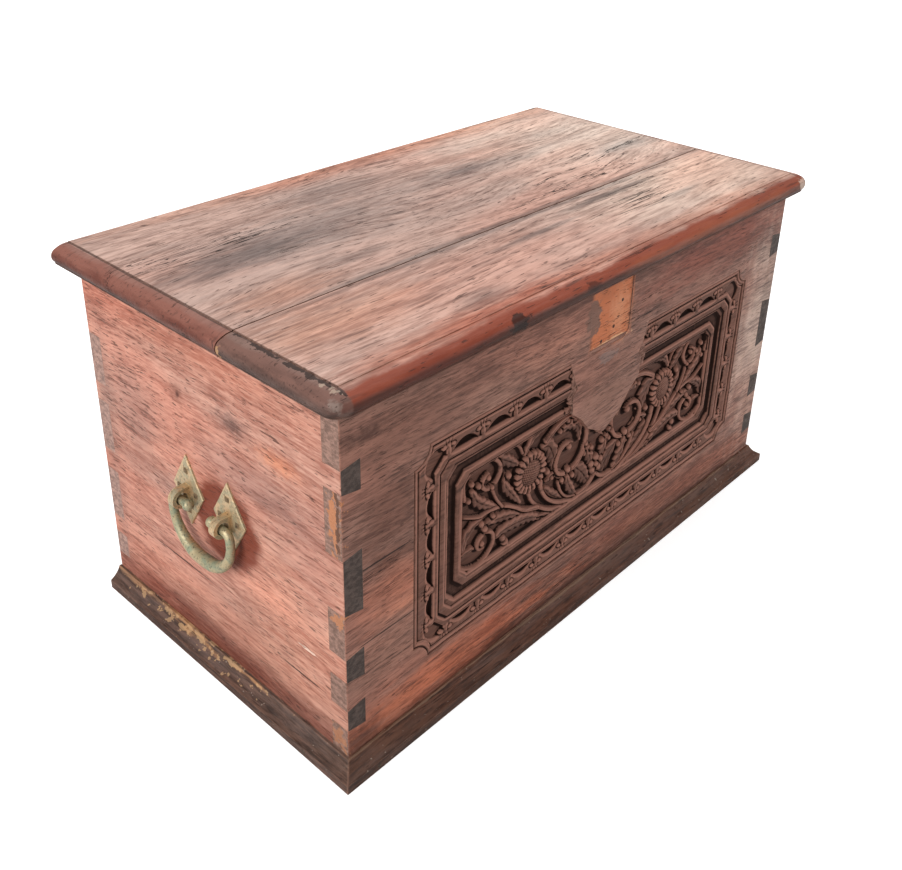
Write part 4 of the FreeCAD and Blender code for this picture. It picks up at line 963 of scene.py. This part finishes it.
def carved_material(wood):
    """Carved timber: tops lightened as rubbed polish and painted highlight, hollows blackened as painted
    shade and old dirt, and the board's own colour on the plain tongue.
    """
    material, tree, shader = new_material("Carved timber")
    if tree is None:
        return material
    vector = object_place(tree)
    grain = use_group(tree, grain_group(), {"Vector": vector, "Pore amount": 0.5, "Crack amount": 0.25})
    stain = use_group(tree, stain_group(), {"Vector": vector})
    sunk, groove, plain = (
        add(tree, "ShaderNodeAttribute", attribute_name=name).outputs["Fac"]
        for name in ("sunk", "groove", "plain")
    )
    board = mixed(tree, grain["Figure"], wood.brown_deep, wood.brown)
    colour = mixed(tree, grain["Figure"], [c * 0.62 for c in wood.carved], wood.carved)
    colour = laid(tree, colour, stain["Weathered"], 0.12, wood.grey)
    # Painted highlight, with rubbed polish: ridges lighter where the groove share falls below 0.47.
    colour = mixed(tree, remap(tree, groove, 0.47, 0.32, 0.0, 0.75), colour, [c * 1.9 for c in wood.carved])
    colour = laid(tree, colour, plain, 0.85, board)
    colour = laid(tree, colour, grain["Streaks"], 0.5, wood.dark)
    # Painted shade: darker the deeper the carving is sunk.
    colour = mixed(tree, remap(tree, sunk, 0.30, 0.75, 0.0, 0.38), colour, [c * 2.5 for c in wood.hollow])
    # Painted shade and old dirt: grooves and hollows turn to the hollow colour.
    colour = mixed(tree, remap(tree, groove, 0.505, 0.66, 0.0, 0.97), colour, wood.hollow)
    tree.links.new(colour, shader.inputs["Base Color"])
    tree.links.new(remap(tree, groove, 0.45, 0.65, 0.5, 0.75), shader.inputs["Roughness"])
    shader.inputs["Specular IOR Level"].default_value = 0.06
    bump = add(tree, "ShaderNodeBump", {"Height": grain["Height"], "Strength": 0.5, "Distance": 0.9 * MM})
    tree.links.new(bump.outputs[0], shader.inputs["Normal"])
    return material


def metal(name, tone, old, patina, rough, metallic):
    """Old cast or forged metal with patina in blotches and rubbed edges."""
    material, tree, shader = new_material(name)
    if tree is None:
        return material
    vector = object_place(tree)
    wear = use_group(tree, wear_group(), {"Vector": vector, "Radius": 1.2 * MM, "Breakup": 140.0})
    blotch = noise(tree, vector, 90.0, 5.0, 0.65, 0.8)
    fine = noise(tree, vector, 520.0, 3.0, 0.6)
    colour = mixed(tree, remap(tree, blotch, 0.38, 0.62), tone, patina)
    colour = mixed(tree, remap(tree, fine, 0.52, 0.70, 0.0, 0.75), colour, old)
    colour = laid(tree, colour, wear["Edge"], 0.6, [min(1.0, c * 1.8) for c in tone])
    tree.links.new(colour, shader.inputs["Base Color"])
    tree.links.new(remap(tree, blotch, 0.35, 0.65, metallic, metallic * 0.45), shader.inputs["Metallic"])
    tree.links.new(remap(tree, blotch, 0.35, 0.65, rough, rough + 0.2), shader.inputs["Roughness"])
    dents = maths(tree, "MULTIPLY_ADD", fine, 0.3, blotch)
    bump = add(tree, "ShaderNodeBump", {"Height": dents, "Strength": 0.6, "Distance": 0.8 * MM})
    tree.links.new(bump.outputs[0], shader.inputs["Normal"])
    return material


def brass():
    """Old cast brass under green-grey patina."""
    return metal("Old brass", (0.48, 0.39, 0.23), (0.06, 0.05, 0.032), (0.27, 0.29, 0.19), 0.44, 0.6)


def dress(nodes, material):
    """Gives CAD nodes a material."""
    for name in nodes:
        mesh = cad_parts[name].data
        mesh.materials.clear()
        mesh.materials.append(material)


# Carcass and lid


class CHEST_OT_carcass(bpy.types.Operator):
    """Give the carcass boards and the bottom their timber"""

    bl_idname = "chest.carcass"
    bl_label = "Carcass"

    def execute(self, context):
        wood = context.scene.chest_wood
        brown = wood.brown, wood.brown_deep
        front_marks = [
            on_front(-285, 199, 40, 0.9, wood.black, 0.9, 0.3),
            on_front(-272, 127, 32, 0.8, wood.black, 0.8, 0.3),
            ((LEFT_FACE, -161, 250), (6, 5.5, 28), wood.raw, 0.9, 1.3),
            ((LEFT_FACE, -164, 252), (6, 2, 26), wood.dark, 0.8, 1.6),
            ((LEFT_FACE, -161, 160), (6, 6, 9), wood.raw, 0.8, 1.3),
            ((LEFT_FACE, -158, 34), (6, 8, 10), (0.42, 0.18, 0.09), 0.7, 1.3),
            on_front(3, 310, 31.5, 32, (0.60, 0.185, 0.078), 0.95, 0.10, 1.0),
            on_front(16, 306, 15, 26, (0.76, 0.36, 0.20), 0.5, 0.7, 0.0, 0.5),
            on_front(4, 280.5, 25, 2.5, (0.84, 0.50, 0.29), 0.7, 1.0),
            on_front(-4, 334, 16, 10, (0.46, 0.15, 0.07), 0.5, 0.7, 0.0, 0.5),
            on_front(-25, 314, 11, 19, (0.22, 0.12, 0.09), 0.95, 0.5),
            on_front(19, 317, 1.8, 1.8, wood.black, 0.9, 0.2),
            on_front(8, 294, 1.8, 1.8, wood.black, 0.9, 0.2),
            on_front(-10, 285, 1.8, 1.8, wood.black, 0.9, 0.2),
            on_front(14, 302, 2.0, 1.0, wood.black, 0.7, 0.3),
            on_front(2, 266, 15, 6, wood.grey, 0.5, 0.5),
        ]
        front_shades = [
            # Painted shadow of the lid's overhang along the top of the front.
            on_front(0, 340, 330, 9, (0.55, 0.52, 0.50), 0.8, 0.3),
            on_front(-250, 302, 80, 32, (0.70, 0.72, 0.72), 0.85, 0.4),
            on_front(-80, 300, 90, 30, (1.26, 1.24, 1.20), 0.85, 0.4),
            on_front(298, 180, 46, 130, (1.75, 2.45, 2.70), 1.0, 0.4),
            on_front(190, 322, 140, 30, (0.80, 0.50, 0.45), 0.9, 0.4),
            on_front(-262, 162, 44, 30, (1.40, 1.15, 1.0), 0.9, 0.5),
            on_front(-268, 105, 44, 34, (1.22, 1.12, 1.06), 0.8, 0.5),
            on_front(-268, 235, 46, 36, (0.66, 0.58, 0.55), 0.9, 0.5),
            on_front(-260, 196, 60, 8, (0.62, 0.60, 0.60), 0.9, 0.6),
            on_front(-200, 40, 150, 20, (1.55, 1.05, 0.78), 0.95, 0.5),
            on_front(130, 42, 220, 20, (1.15, 0.88, 0.78), 0.9, 0.5),
            on_front(0, 21, 340, 7, (0.40, 0.36, 0.36), 0.85, 0.5),
            on_front(-308, 32, 26, 18, (0.38, 0.36, 0.36), 0.9, 0.5),
            on_front(-135, 27, 22, 9, (0.45, 0.42, 0.42), 0.8, 0.5),
            on_front(-300, 317, 24, 6, (0.40, 0.38, 0.38), 0.8, 0.6),
            on_front(-168, 315, 30, 7, (0.50, 0.50, 0.52), 0.8, 0.6),
            on_front(6, 235, 40, 40, (0.85, 0.78, 0.74), 0.7, 0.4),
        ]
        dress(["front_board"], timber(
            "Front timber", wood, *brown, pores=0.7, cracks=0.35, weathered=0.08, stains=0.35, worn=0.3,
            marks=front_marks, shades=front_shades, ends=(0.28, 0.165, 0.128), fine=1.7,
        ))
        dress(["back_board"], timber(
            "Back timber", wood, *brown, weathered=0.4, seed=3.0, ends=(0.36, 0.22, 0.18),
        ))
        left_marks = [
            # Dark red patch round the handle: painted shadow of the handle, with old polish.
            on_left(-22, 172, 45, 43, (0.17, 0.034, 0.017), 0.92, 0.14),
            on_left(48, 95, 46, 0.9, wood.black, 0.8, 0.3),
            on_left(-114, 72, 28, 1.0, wood.black, 0.8, 0.3),
            on_left(-122, 104, 12, 1.4, (0.85, 0.62, 0.50), 0.9, 0.3),
        ]
        left_shades = [
            on_left(34, 275, 9, 10, (0.62, 0.58, 0.56), 0.9, 0.5),
            on_left(33, 276, 3, 3.5, (0.30, 0.24, 0.22), 0.9, 0.5),
            on_left(-39, 279, 20, 12, (0.60, 0.62, 0.66), 0.9, 0.5),
            on_left(-42, 280, 9, 7, (0.45, 0.42, 0.42), 0.8, 0.6),
            on_left(-98, 270, 24, 9, (1.20, 0.98, 0.78), 0.9, 0.4),
            on_left(-94, 227, 30, 7, (0.75, 0.74, 0.76), 0.9, 0.5),
            on_left(110, 235, 40, 40, (0.72, 0.80, 0.86), 0.8, 0.4),
            on_left(90, 170, 70, 14, (0.70, 0.82, 0.88), 0.7, 0.4),
            on_left(-60, 232, 70, 22, (0.70, 0.74, 0.80), 0.7, 0.4),
            on_left(-130, 190, 30, 60, (0.93, 0.90, 0.92), 0.7, 0.4),
            on_left(0, 325, 190, 20, (0.98, 0.80, 0.72), 0.8, 0.3),
            on_left(60, 110, 100, 50, (1.0, 1.12, 1.16), 0.8, 0.4),
            on_left(0, 26, 260, 24, (0.36, 0.22, 0.19), 0.95, 0.4),
            on_left(0, 60, 200, 24, (0.92, 0.82, 0.76), 0.7, 0.4),
            on_left(-110, 120, 70, 60, (1.24, 1.17, 1.10), 0.8, 0.4),
            on_left(154, 190, 12, 160, (0.70, 0.72, 0.74), 0.7, 0.3),
        ]
        end = dict(along="y", pores=0.85, cracks=0.3, stains=0.2, ends=wood.end_grain)
        dress(["left_end_board"], timber(
            "Left end timber", wood, wood.salmon, wood.rose, weathered=0.12, seed=5.0,
            marks=left_marks, shades=left_shades, fine=1.5, **end,
        ))
        dress(["right_end_board"], timber(
            "Right end timber", wood, wood.salmon, wood.rose, weathered=0.2, seed=6.0, **end,
        ))
        dress(["bottom_board_front", "bottom_board_middle", "bottom_board_rear"], timber(
            "Bottom timber", wood, *brown, weathered=0.7, stains=0.3, rough=0.7, seed=7.0,
        ))
        return {"FINISHED"}


class CHEST_OT_lid(bpy.types.Operator):
    """Give the lid boards and battens their timber"""

    bl_idname = "chest.lid"
    bl_label = "Lid"

    def execute(self, context):
        wood = context.scene.chest_wood
        # Painted shade in the quirk's groove at both ends of the lid.
        quirk = [((side, 0, LID_TOP), (1.4, 400, 2.2), wood.dark, 0.75, 0.35) for side in (-QUIRK, QUIRK)]
        # Grey patches, darker pools and a pink blush of the lid's own weathered timber.
        grey_patch, pool, blush = (0.66, 0.72, 0.76), (0.42, 0.48, 0.52), (1.02, 0.80, 0.68)
        rear_shades = [
            on_top(-170, 62, 130, 44, grey_patch, 0.9, 0.5),
            on_top(-235, 50, 70, 24, pool, 0.75, 0.5),
            on_top(-80, 125, 60, 26, grey_patch, 0.7, 0.5),
            on_top(80, 75, 80, 24, grey_patch, 0.85, 0.5),
            on_top(70, 78, 34, 10, pool, 0.6, 0.5),
            on_top(-165, -13, 42, 12, pool, 0.6, 0.5),
            on_top(270, 12, 50, 14, grey_patch, 0.9, 0.5),
            on_top(0, 40, 300, 80, (0.88, 0.89, 0.90), 0.8, 0.4),
            on_top(-250, -28, 50, 20, blush, 0.8, 0.4),
            # Painted light: the right end of the lid lighter and greyer.
            on_top(260, 80, 170, 160, (1.46, 1.72, 1.74), 0.95, 0.3),
            on_top(60, 178, 330, 16, blush, 0.8, 0.4),
            on_top(0, -50, 340, 4, pool, 0.8, 0.3),
        ]
        front_shades = [
            on_top(-255, -90, 80, 34, blush, 0.8, 0.4),
            # Painted light: the right end of the lid lighter and greyer.
            on_top(260, -100, 180, 70, (1.42, 1.64, 1.62), 0.95, 0.3),
            on_top(-200, -165, 120, 18, (0.80, 0.52, 0.44), 0.9, 0.4),
            on_top(-145, -146, 34, 15, pool, 0.7, 0.5),
            on_top(-20, -88, 70, 5, pool, 0.8, 0.5),
            on_top(115, -72, 70, 5, (0.30, 0.32, 0.34), 0.9, 0.5),
            on_top(180, -120, 34, 7, grey_patch, 0.9, 0.5),
            on_top(60, -165, 300, 12, (0.84, 0.62, 0.54), 0.8, 0.4),
            on_top(0, -56, 340, 4, pool, 0.7, 0.3),
        ]
        rear_marks = [
            ((-331, 70, 357), (10.5, 400, 14), (0.24, 0.105, 0.080), 0.85, 0.10, 1.0),
            # Painted shade: the left nosing darker towards its foot and near black on its underside.
            ((-334, 70, 356.5), (8, 400, 5.5), (0.115, 0.036, 0.026), 0.85, 0.7, 0.0, 0.5),
            ((-331, 70, 349.5), (14, 400, 6), (0.035, 0.018, 0.014), 0.9, 0.5, 0.0, 0.5),
        ] + quirk
        front_marks = [
            ((-331, 0, 357), (10.5, 300, 14), (0.165, 0.098, 0.080), 0.85, 0.10, 1.0),
            # Painted shade: this board's left nosing darker towards its foot and near black on its underside.
            ((-334, 0, 356.5), (8, 400, 5.5), (0.080, 0.044, 0.036), 0.85, 0.8, 0.0, 0.5),
            ((-331, 0, 349.5), (14, 400, 6), (0.030, 0.018, 0.015), 0.9, 0.5, 0.0, 0.5),
            ((-235, -186, 358), (95, 8, 8), (0.15, 0.030, 0.018), 0.45, 0.8, 0.0, 0.5),
            ((160, -186, 360), (150, 8, 8), (0.37, 0.110, 0.055), 0.55, 0.8, 0.0, 0.5),
            ((-322.5, -130, 366), (2.0, 56, 2), wood.black, 0.8, 2.2),
            ((-147, -187, 360), (11, 10, 12), wood.black, 0.8, 0.5),
            ((-52, -188, 360), (9, 8, 9), wood.black, 0.55, 0.5),
            # Painted highlight: a thin pale glint on the quirk near the front left corner.
            ((-324, -166, 365.5), (1.6, 8, 1.6), (0.45, 0.34, 0.26), 0.6, 2.6),
            ((-331, -178, 359), (3, 4, 4), (0.26, 0.20, 0.17), 0.6, 1.6, 0.0, 0.4),
            ((-333, -55, 356), (5, 2.6, 5), (0.42, 0.24, 0.12), 0.8, 1.0),
            ((322, -182, 358), (12, 6, 5), (0.70, 0.56, 0.46), 0.6, 0.8),
        ] + quirk
        # Levels: the nosing's own polished red below the top edge, then near black below 357 mm, a painted
        # shade on the nosing's foot and the lid's underside.
        nosing = [(366.0, 364.4, wood.red, 0.93), (361.0, 357.0, (0.045, 0.022, 0.016), 0.88)]
        faded = wood.faded, wood.faded_deep
        lid = dict(dents=0.4, rough=0.42, worn=0.3, levels=nosing)
        dress(["lid_rear_board"], timber(
            "Rear lid timber", wood, *faded, pores=0.7, cracks=0.6, flow=0.10, streaks=0.45, weathered=0.3,
            stains=0.22, seed=11.0, marks=rear_marks, shades=rear_shades, **lid,
        ))
        dress(["lid_front_board"], timber(
            "Front lid timber", wood, *faded, pores=0.6, cracks=0.45, weathered=0.25, stains=0.2, seed=13.0,
            marks=front_marks, shades=front_shades, **lid,
        ))
        dress(["lid_batten_left", "lid_batten_right"], timber(
            "Batten timber", wood, wood.brown, wood.brown_deep,
            along="y", weathered=0.5, rough=0.7, seed=17.0,
        ))
        return {"FINISHED"}


class CHEST_OT_plinth(bpy.types.Operator):
    """Give the plinth its dark scuffed timber"""

    bl_idname = "chest.plinth"
    bl_label = "Plinth"

    def execute(self, context):
        wood = context.scene.chest_wood
        cool, cool_deep = (0.140, 0.084, 0.063), (0.042, 0.026, 0.020)
        warm, warm_deep = (0.132, 0.064, 0.042), (0.046, 0.023, 0.016)
        kinds = dict(
            pores=0.7, cracks=0.5, weathered=0.25, stains=0.5, rough=0.55, worn=0.3, dents=2.6, specks=0.6,
        )
        left_marks = [
            ((-323, 78, 20.5), (3.2, 88, 3.0), (0.36, 0.19, 0.10), 0.7, 1.2, 0.0, 0.3),
            ((-324, 34, 19.5), (3.6, 48, 3.6), (0.42, 0.21, 0.095), 0.8, 1.4, 0.0, 0.3),
            ((-324, 34, 19.5), (4, 44, 4), (0.60, 0.37, 0.19), 0.5, 3.4),
        ]
        front_marks = [((0, -171, 21), (340, 2.0, 1.4), (0.24, 0.15, 0.10), 0.6, 0.9)]
        for node, name, tones, along, seed, marks in (
            ("plinth_front", "Plinth timber", (warm, warm_deep), "x", 19.0, front_marks),
            ("plinth_left", "Left plinth timber", (cool, cool_deep), "y", 23.0, left_marks),
            ("plinth_right", "Right plinth timber", (cool, cool_deep), "y", 29.0, ()),
        ):
            dress([node], timber(name, wood, *tones, along=along, seed=seed, marks=marks, **kinds))
        return {"FINISHED"}


# Handles and other metal

# A bail: radius of its rod, how much the arm grows towards the foot, and the round knob at its end.
ROD, GROWTH, KNOB = 3.9, 2.1, 5.3
# Places across from the bail's middle: knob, start and end of the turned-in end, bend, and foot of the arm.
KNOB_PLACE, NECK, BEND_PLACE, FOOT_PLACE = 17, (21.4, 33.4), 34, 4
# Radii of the bend and of the arm, the arm's start below the eyes, and the bail's place along the chest.
BEND_RADIUS, ARM_RADIUS, ARM_DROP = 7, 37, 11
BAIL_OUT = 330.5
RING = 28


def bail_path():
    """Stations of a bail in millimetres: round knob, turned-in end, bend, arm and foot, mirrored."""
    quarter = math.pi / 2
    knob = np.linspace(0.08, math.pi - math.asin(ROD / KNOB), 12)
    neck = np.linspace(*NECK, 10)
    bend = np.linspace(0, quarter, 12)
    arm = np.linspace(0.0, quarter, 44)
    parts = (
        (KNOB_PLACE - KNOB * np.cos(knob), 0 * knob, 0 * knob, KNOB * np.sin(knob)),
        (neck, 0 * neck, 0 * neck, ROD + 0 * neck),
        (
            BEND_PLACE + BEND_RADIUS * np.sin(bend), -BEND_RADIUS + BEND_RADIUS * np.cos(bend), bend,
            ROD + 0 * bend,
        ),
        (
            FOOT_PLACE + ARM_RADIUS * np.cos(arm), -ARM_DROP - ARM_RADIUS * np.sin(arm), quarter + arm,
            ROD + GROWTH * smoothstep(arm / quarter),
        ),
    )
    across, up, angle, radius = (np.concatenate([part[k] for part in parts]) for k in range(4))
    return (
        np.concatenate([across, -across[::-1]]),
        np.concatenate([up, up[::-1]]),
        np.concatenate([angle, math.tau - angle[::-1]]),
        np.concatenate([radius, radius[::-1]]),
    )


def cast_bail(name, side):
    """Round sections of uneven size along the bail's path, each square to it, closed at both knobs."""
    across, up, angle, radius = bail_path()
    rows = len(across)
    turn = np.linspace(0, math.tau, RING, endpoint=False)
    ring = np.stack([np.sin(turn), np.zeros(RING), np.cos(turn)], -1)
    flat = np.stack([np.zeros_like(angle), np.sin(angle), np.cos(angle)], -1)
    spread = ring[None, :, :1] * np.array([1.0, 0, 0]) + ring[None, :, 2:] * flat[:, None]
    run = np.arange(rows)[:, None] + np.zeros(RING)
    uneven = value_noise(run / 3.0, 6 * np.cos(turn)[None] + 0 * run, 5 + side)
    reach = radius[:, None] * (1 - 0.05 * uneven)
    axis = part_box(name)[1].z / MM - ROD
    centre = np.stack([np.full_like(across, side * BAIL_OUT), across, axis + up], -1)
    points = centre[:, None] + spread * reach[..., None]
    first = np.arange(RING)
    ends = [first[::-1], (rows - 1) * RING + first]
    return new_object(f"{name}_cast", points.reshape(-1, 3) * MM, grid_quads(rows, RING, True), ends)


class CHEST_OT_bails(bpy.types.Operator):
    """Sweep the two cast bails with their knobs"""

    bl_idname = "chest.bails"
    bl_label = "Bails"

    def execute(self, context):
        for name, side in (("bail_left", -1), ("bail_right", 1)):
            made = cast_bail(name, side)
            made.data.materials.append(brass())
            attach(made, name)
            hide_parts(name)
        return {"FINISHED"}


class CHEST_OT_metalwork(bpy.types.Operator):
    """Give the handles, hinges and nails their metal"""

    bl_idname = "chest.metalwork"
    bl_label = "Metalwork"

    def execute(self, context):
        iron = metal("Old iron", (0.10, 0.075, 0.06), (0.03, 0.02, 0.015), (0.09, 0.045, 0.025), 0.6, 0.7)
        plates = metal("Plate brass", (0.64, 0.45, 0.26), (0.12, 0.08, 0.045), (0.38, 0.33, 0.21), 0.38, 0.7)
        bails = brass()
        nails = metal("Nail heads", (0.22, 0.15, 0.08), (0.03, 0.02, 0.015), (0.12, 0.08, 0.045), 0.5, 0.7)
        for starts, material in (
            ("bail", bails),
            ("handle_plate", plates),
            ("handle_nails", nails),
            (("hinge", "batten_nails", "bottom_nails", "plinth_nails"), iron),
        ):
            dress([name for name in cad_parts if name.startswith(starts)], material)
        return {"FINISHED"}


# Stage, in metres

FLOOR = 6.0


def soft_light(name, power, size, place, target):
    """A square area light aimed at a place."""
    light = bpy.data.lights.new(name, "AREA")
    light.energy = power
    light.size = size
    made = bpy.data.objects.new(name, light)
    bpy.context.scene.collection.objects.link(made)
    made.location = place
    made.rotation_mode = "QUATERNION"
    made.rotation_quaternion = (Vector(target) - Vector(place)).to_track_quat("-Z", "Y")
    return made


def camera_matrix(settings):
    """Camera's place and turn from its azimuth, elevation and roll."""
    az, el, roll = (math.radians(a) for a in settings.turn)
    back = np.array([math.sin(az) * math.cos(el), -math.cos(az) * math.cos(el), math.sin(el)])
    right = np.array([math.cos(az), math.sin(az), 0.0])
    up = np.cross(back, right)
    c, s = math.cos(roll), math.sin(roll)
    axes = np.stack([c * right + s * up, -s * right + c * up, back], 1)
    matrix = Matrix(axes.tolist()).to_4x4()
    matrix.translation = settings.location
    return matrix


class CHEST_OT_stage(bpy.types.Operator):
    """Set the floor, the lights, the world and the camera"""

    bl_idname = "chest.stage"
    bl_label = "Stage"

    def execute(self, context):
        scene = context.scene
        settings = scene.chest_stage
        corners = [(-FLOOR, -FLOOR, 0), (FLOOR, -FLOOR, 0), (FLOOR, FLOOR, 0), (-FLOOR, FLOOR, 0)]
        floor = new_object("floor", corners, [(0, 1, 2, 3)])
        material, tree, shader = new_material("Floor")
        shader.inputs["Base Color"].default_value = (0.85, 0.85, 0.85, 1)
        shader.inputs["Roughness"].default_value = 0.9
        seen = add(tree, "ShaderNodeLightPath").outputs["Is Camera Ray"]
        away = vector_maths(tree, "LENGTH", object_place(tree))
        glow = maths(tree, "MULTIPLY", seen, remap(tree, away, 0.7, 2.2, settings.glow, 1.0))
        tree.links.new(glow, shader.inputs["Emission Strength"])
        shader.inputs["Emission Color"].default_value = (1, 1, 1, 1)
        floor.data.materials.append(material)
        lights = (
            soft_light("key_light", settings.key, 1.6, (-2.4, -0.2, 1.5), (0, 0, 0.15)),
            soft_light("top_light", settings.fill, 2.4, (0.6, 0.5, 2.5), (0, 0, 0.2)),
            soft_light("front_light", settings.front, 1.3, (1.9, -1.9, 0.4), (0, 0, 0.2)),
        )
        world = bpy.data.worlds.new("Studio")
        scene.world = world
        world.use_nodes = True
        tree = world.node_tree
        tree.nodes.clear()
        seen = add(tree, "ShaderNodeLightPath").outputs["Is Camera Ray"]
        white = add(tree, "ShaderNodeBackground", {"Color": (1, 1, 1, 1), "Strength": 1.0})
        room = add(tree, "ShaderNodeBackground", {"Color": (1.0, 0.99, 0.98, 1), "Strength": settings.room})
        both = add(tree, "ShaderNodeMixShader", {0: seen, 1: room.outputs[0], 2: white.outputs[0]})
        add(tree, "ShaderNodeOutputWorld", {"Surface": both.outputs[0]})
        camera = bpy.data.cameras.new("camera")
        camera.lens = settings.lens
        camera.sensor_width = 36.0
        camera.shift_x, camera.shift_y = settings.shift
        camera.clip_start, camera.clip_end = 0.01, 50.0
        made = bpy.data.objects.new("camera", camera)
        scene.collection.objects.link(made)
        made.matrix_world = camera_matrix(settings)
        scene.camera = made
        scene.view_settings.view_transform = "Standard"
        return {"FINISHED"}


class CHEST_PT_panel(bpy.types.Panel):
    """Buttons and settings of the chest"""

    bl_label = "Chest"
    bl_idname = "CHEST_PT_panel"
    bl_space_type = "VIEW_3D"
    bl_region_type = "UI"
    bl_category = "Chest"

    def draw(self, context):
        for name in ("chest_carving", "chest_wood", "chest_stage"):
            settings = getattr(context.scene, name)
            box = self.layout.box()
            for key in type(settings).__annotations__:
                box.prop(settings, key)
        for operator in OPERATORS:
            self.layout.operator(operator.bl_idname)


OPERATORS = (
    CHEST_OT_carcass, CHEST_OT_carving, CHEST_OT_lid, CHEST_OT_plinth, CHEST_OT_metalwork, CHEST_OT_bails,
    CHEST_OT_stage,
)
CLASSES = (CarvingSettings, WoodSettings, StageSettings, *OPERATORS, CHEST_PT_panel)


def register():
    """Registers the classes and hangs the settings on the scene."""
    for item in CLASSES:
        bpy.utils.register_class(item)
    bpy.types.Scene.chest_carving = bpy.props.PointerProperty(type=CarvingSettings)
    bpy.types.Scene.chest_wood = bpy.props.PointerProperty(type=WoodSettings)
    bpy.types.Scene.chest_stage = bpy.props.PointerProperty(type=StageSettings)


def unregister():
    """Takes the settings and classes away again."""
    del bpy.types.Scene.chest_stage, bpy.types.Scene.chest_wood, bpy.types.Scene.chest_carving
    for item in reversed(CLASSES):
        bpy.utils.unregister_class(item)


def main():
    """Builds everything in order."""
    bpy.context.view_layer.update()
    register()
    bpy.ops.chest.carcass()
    bpy.ops.chest.carving()
    bpy.ops.chest.lid()
    bpy.ops.chest.plinth()
    bpy.ops.chest.metalwork()
    bpy.ops.chest.bails()
    bpy.ops.chest.stage()


if __name__ == "__main__":
    main()
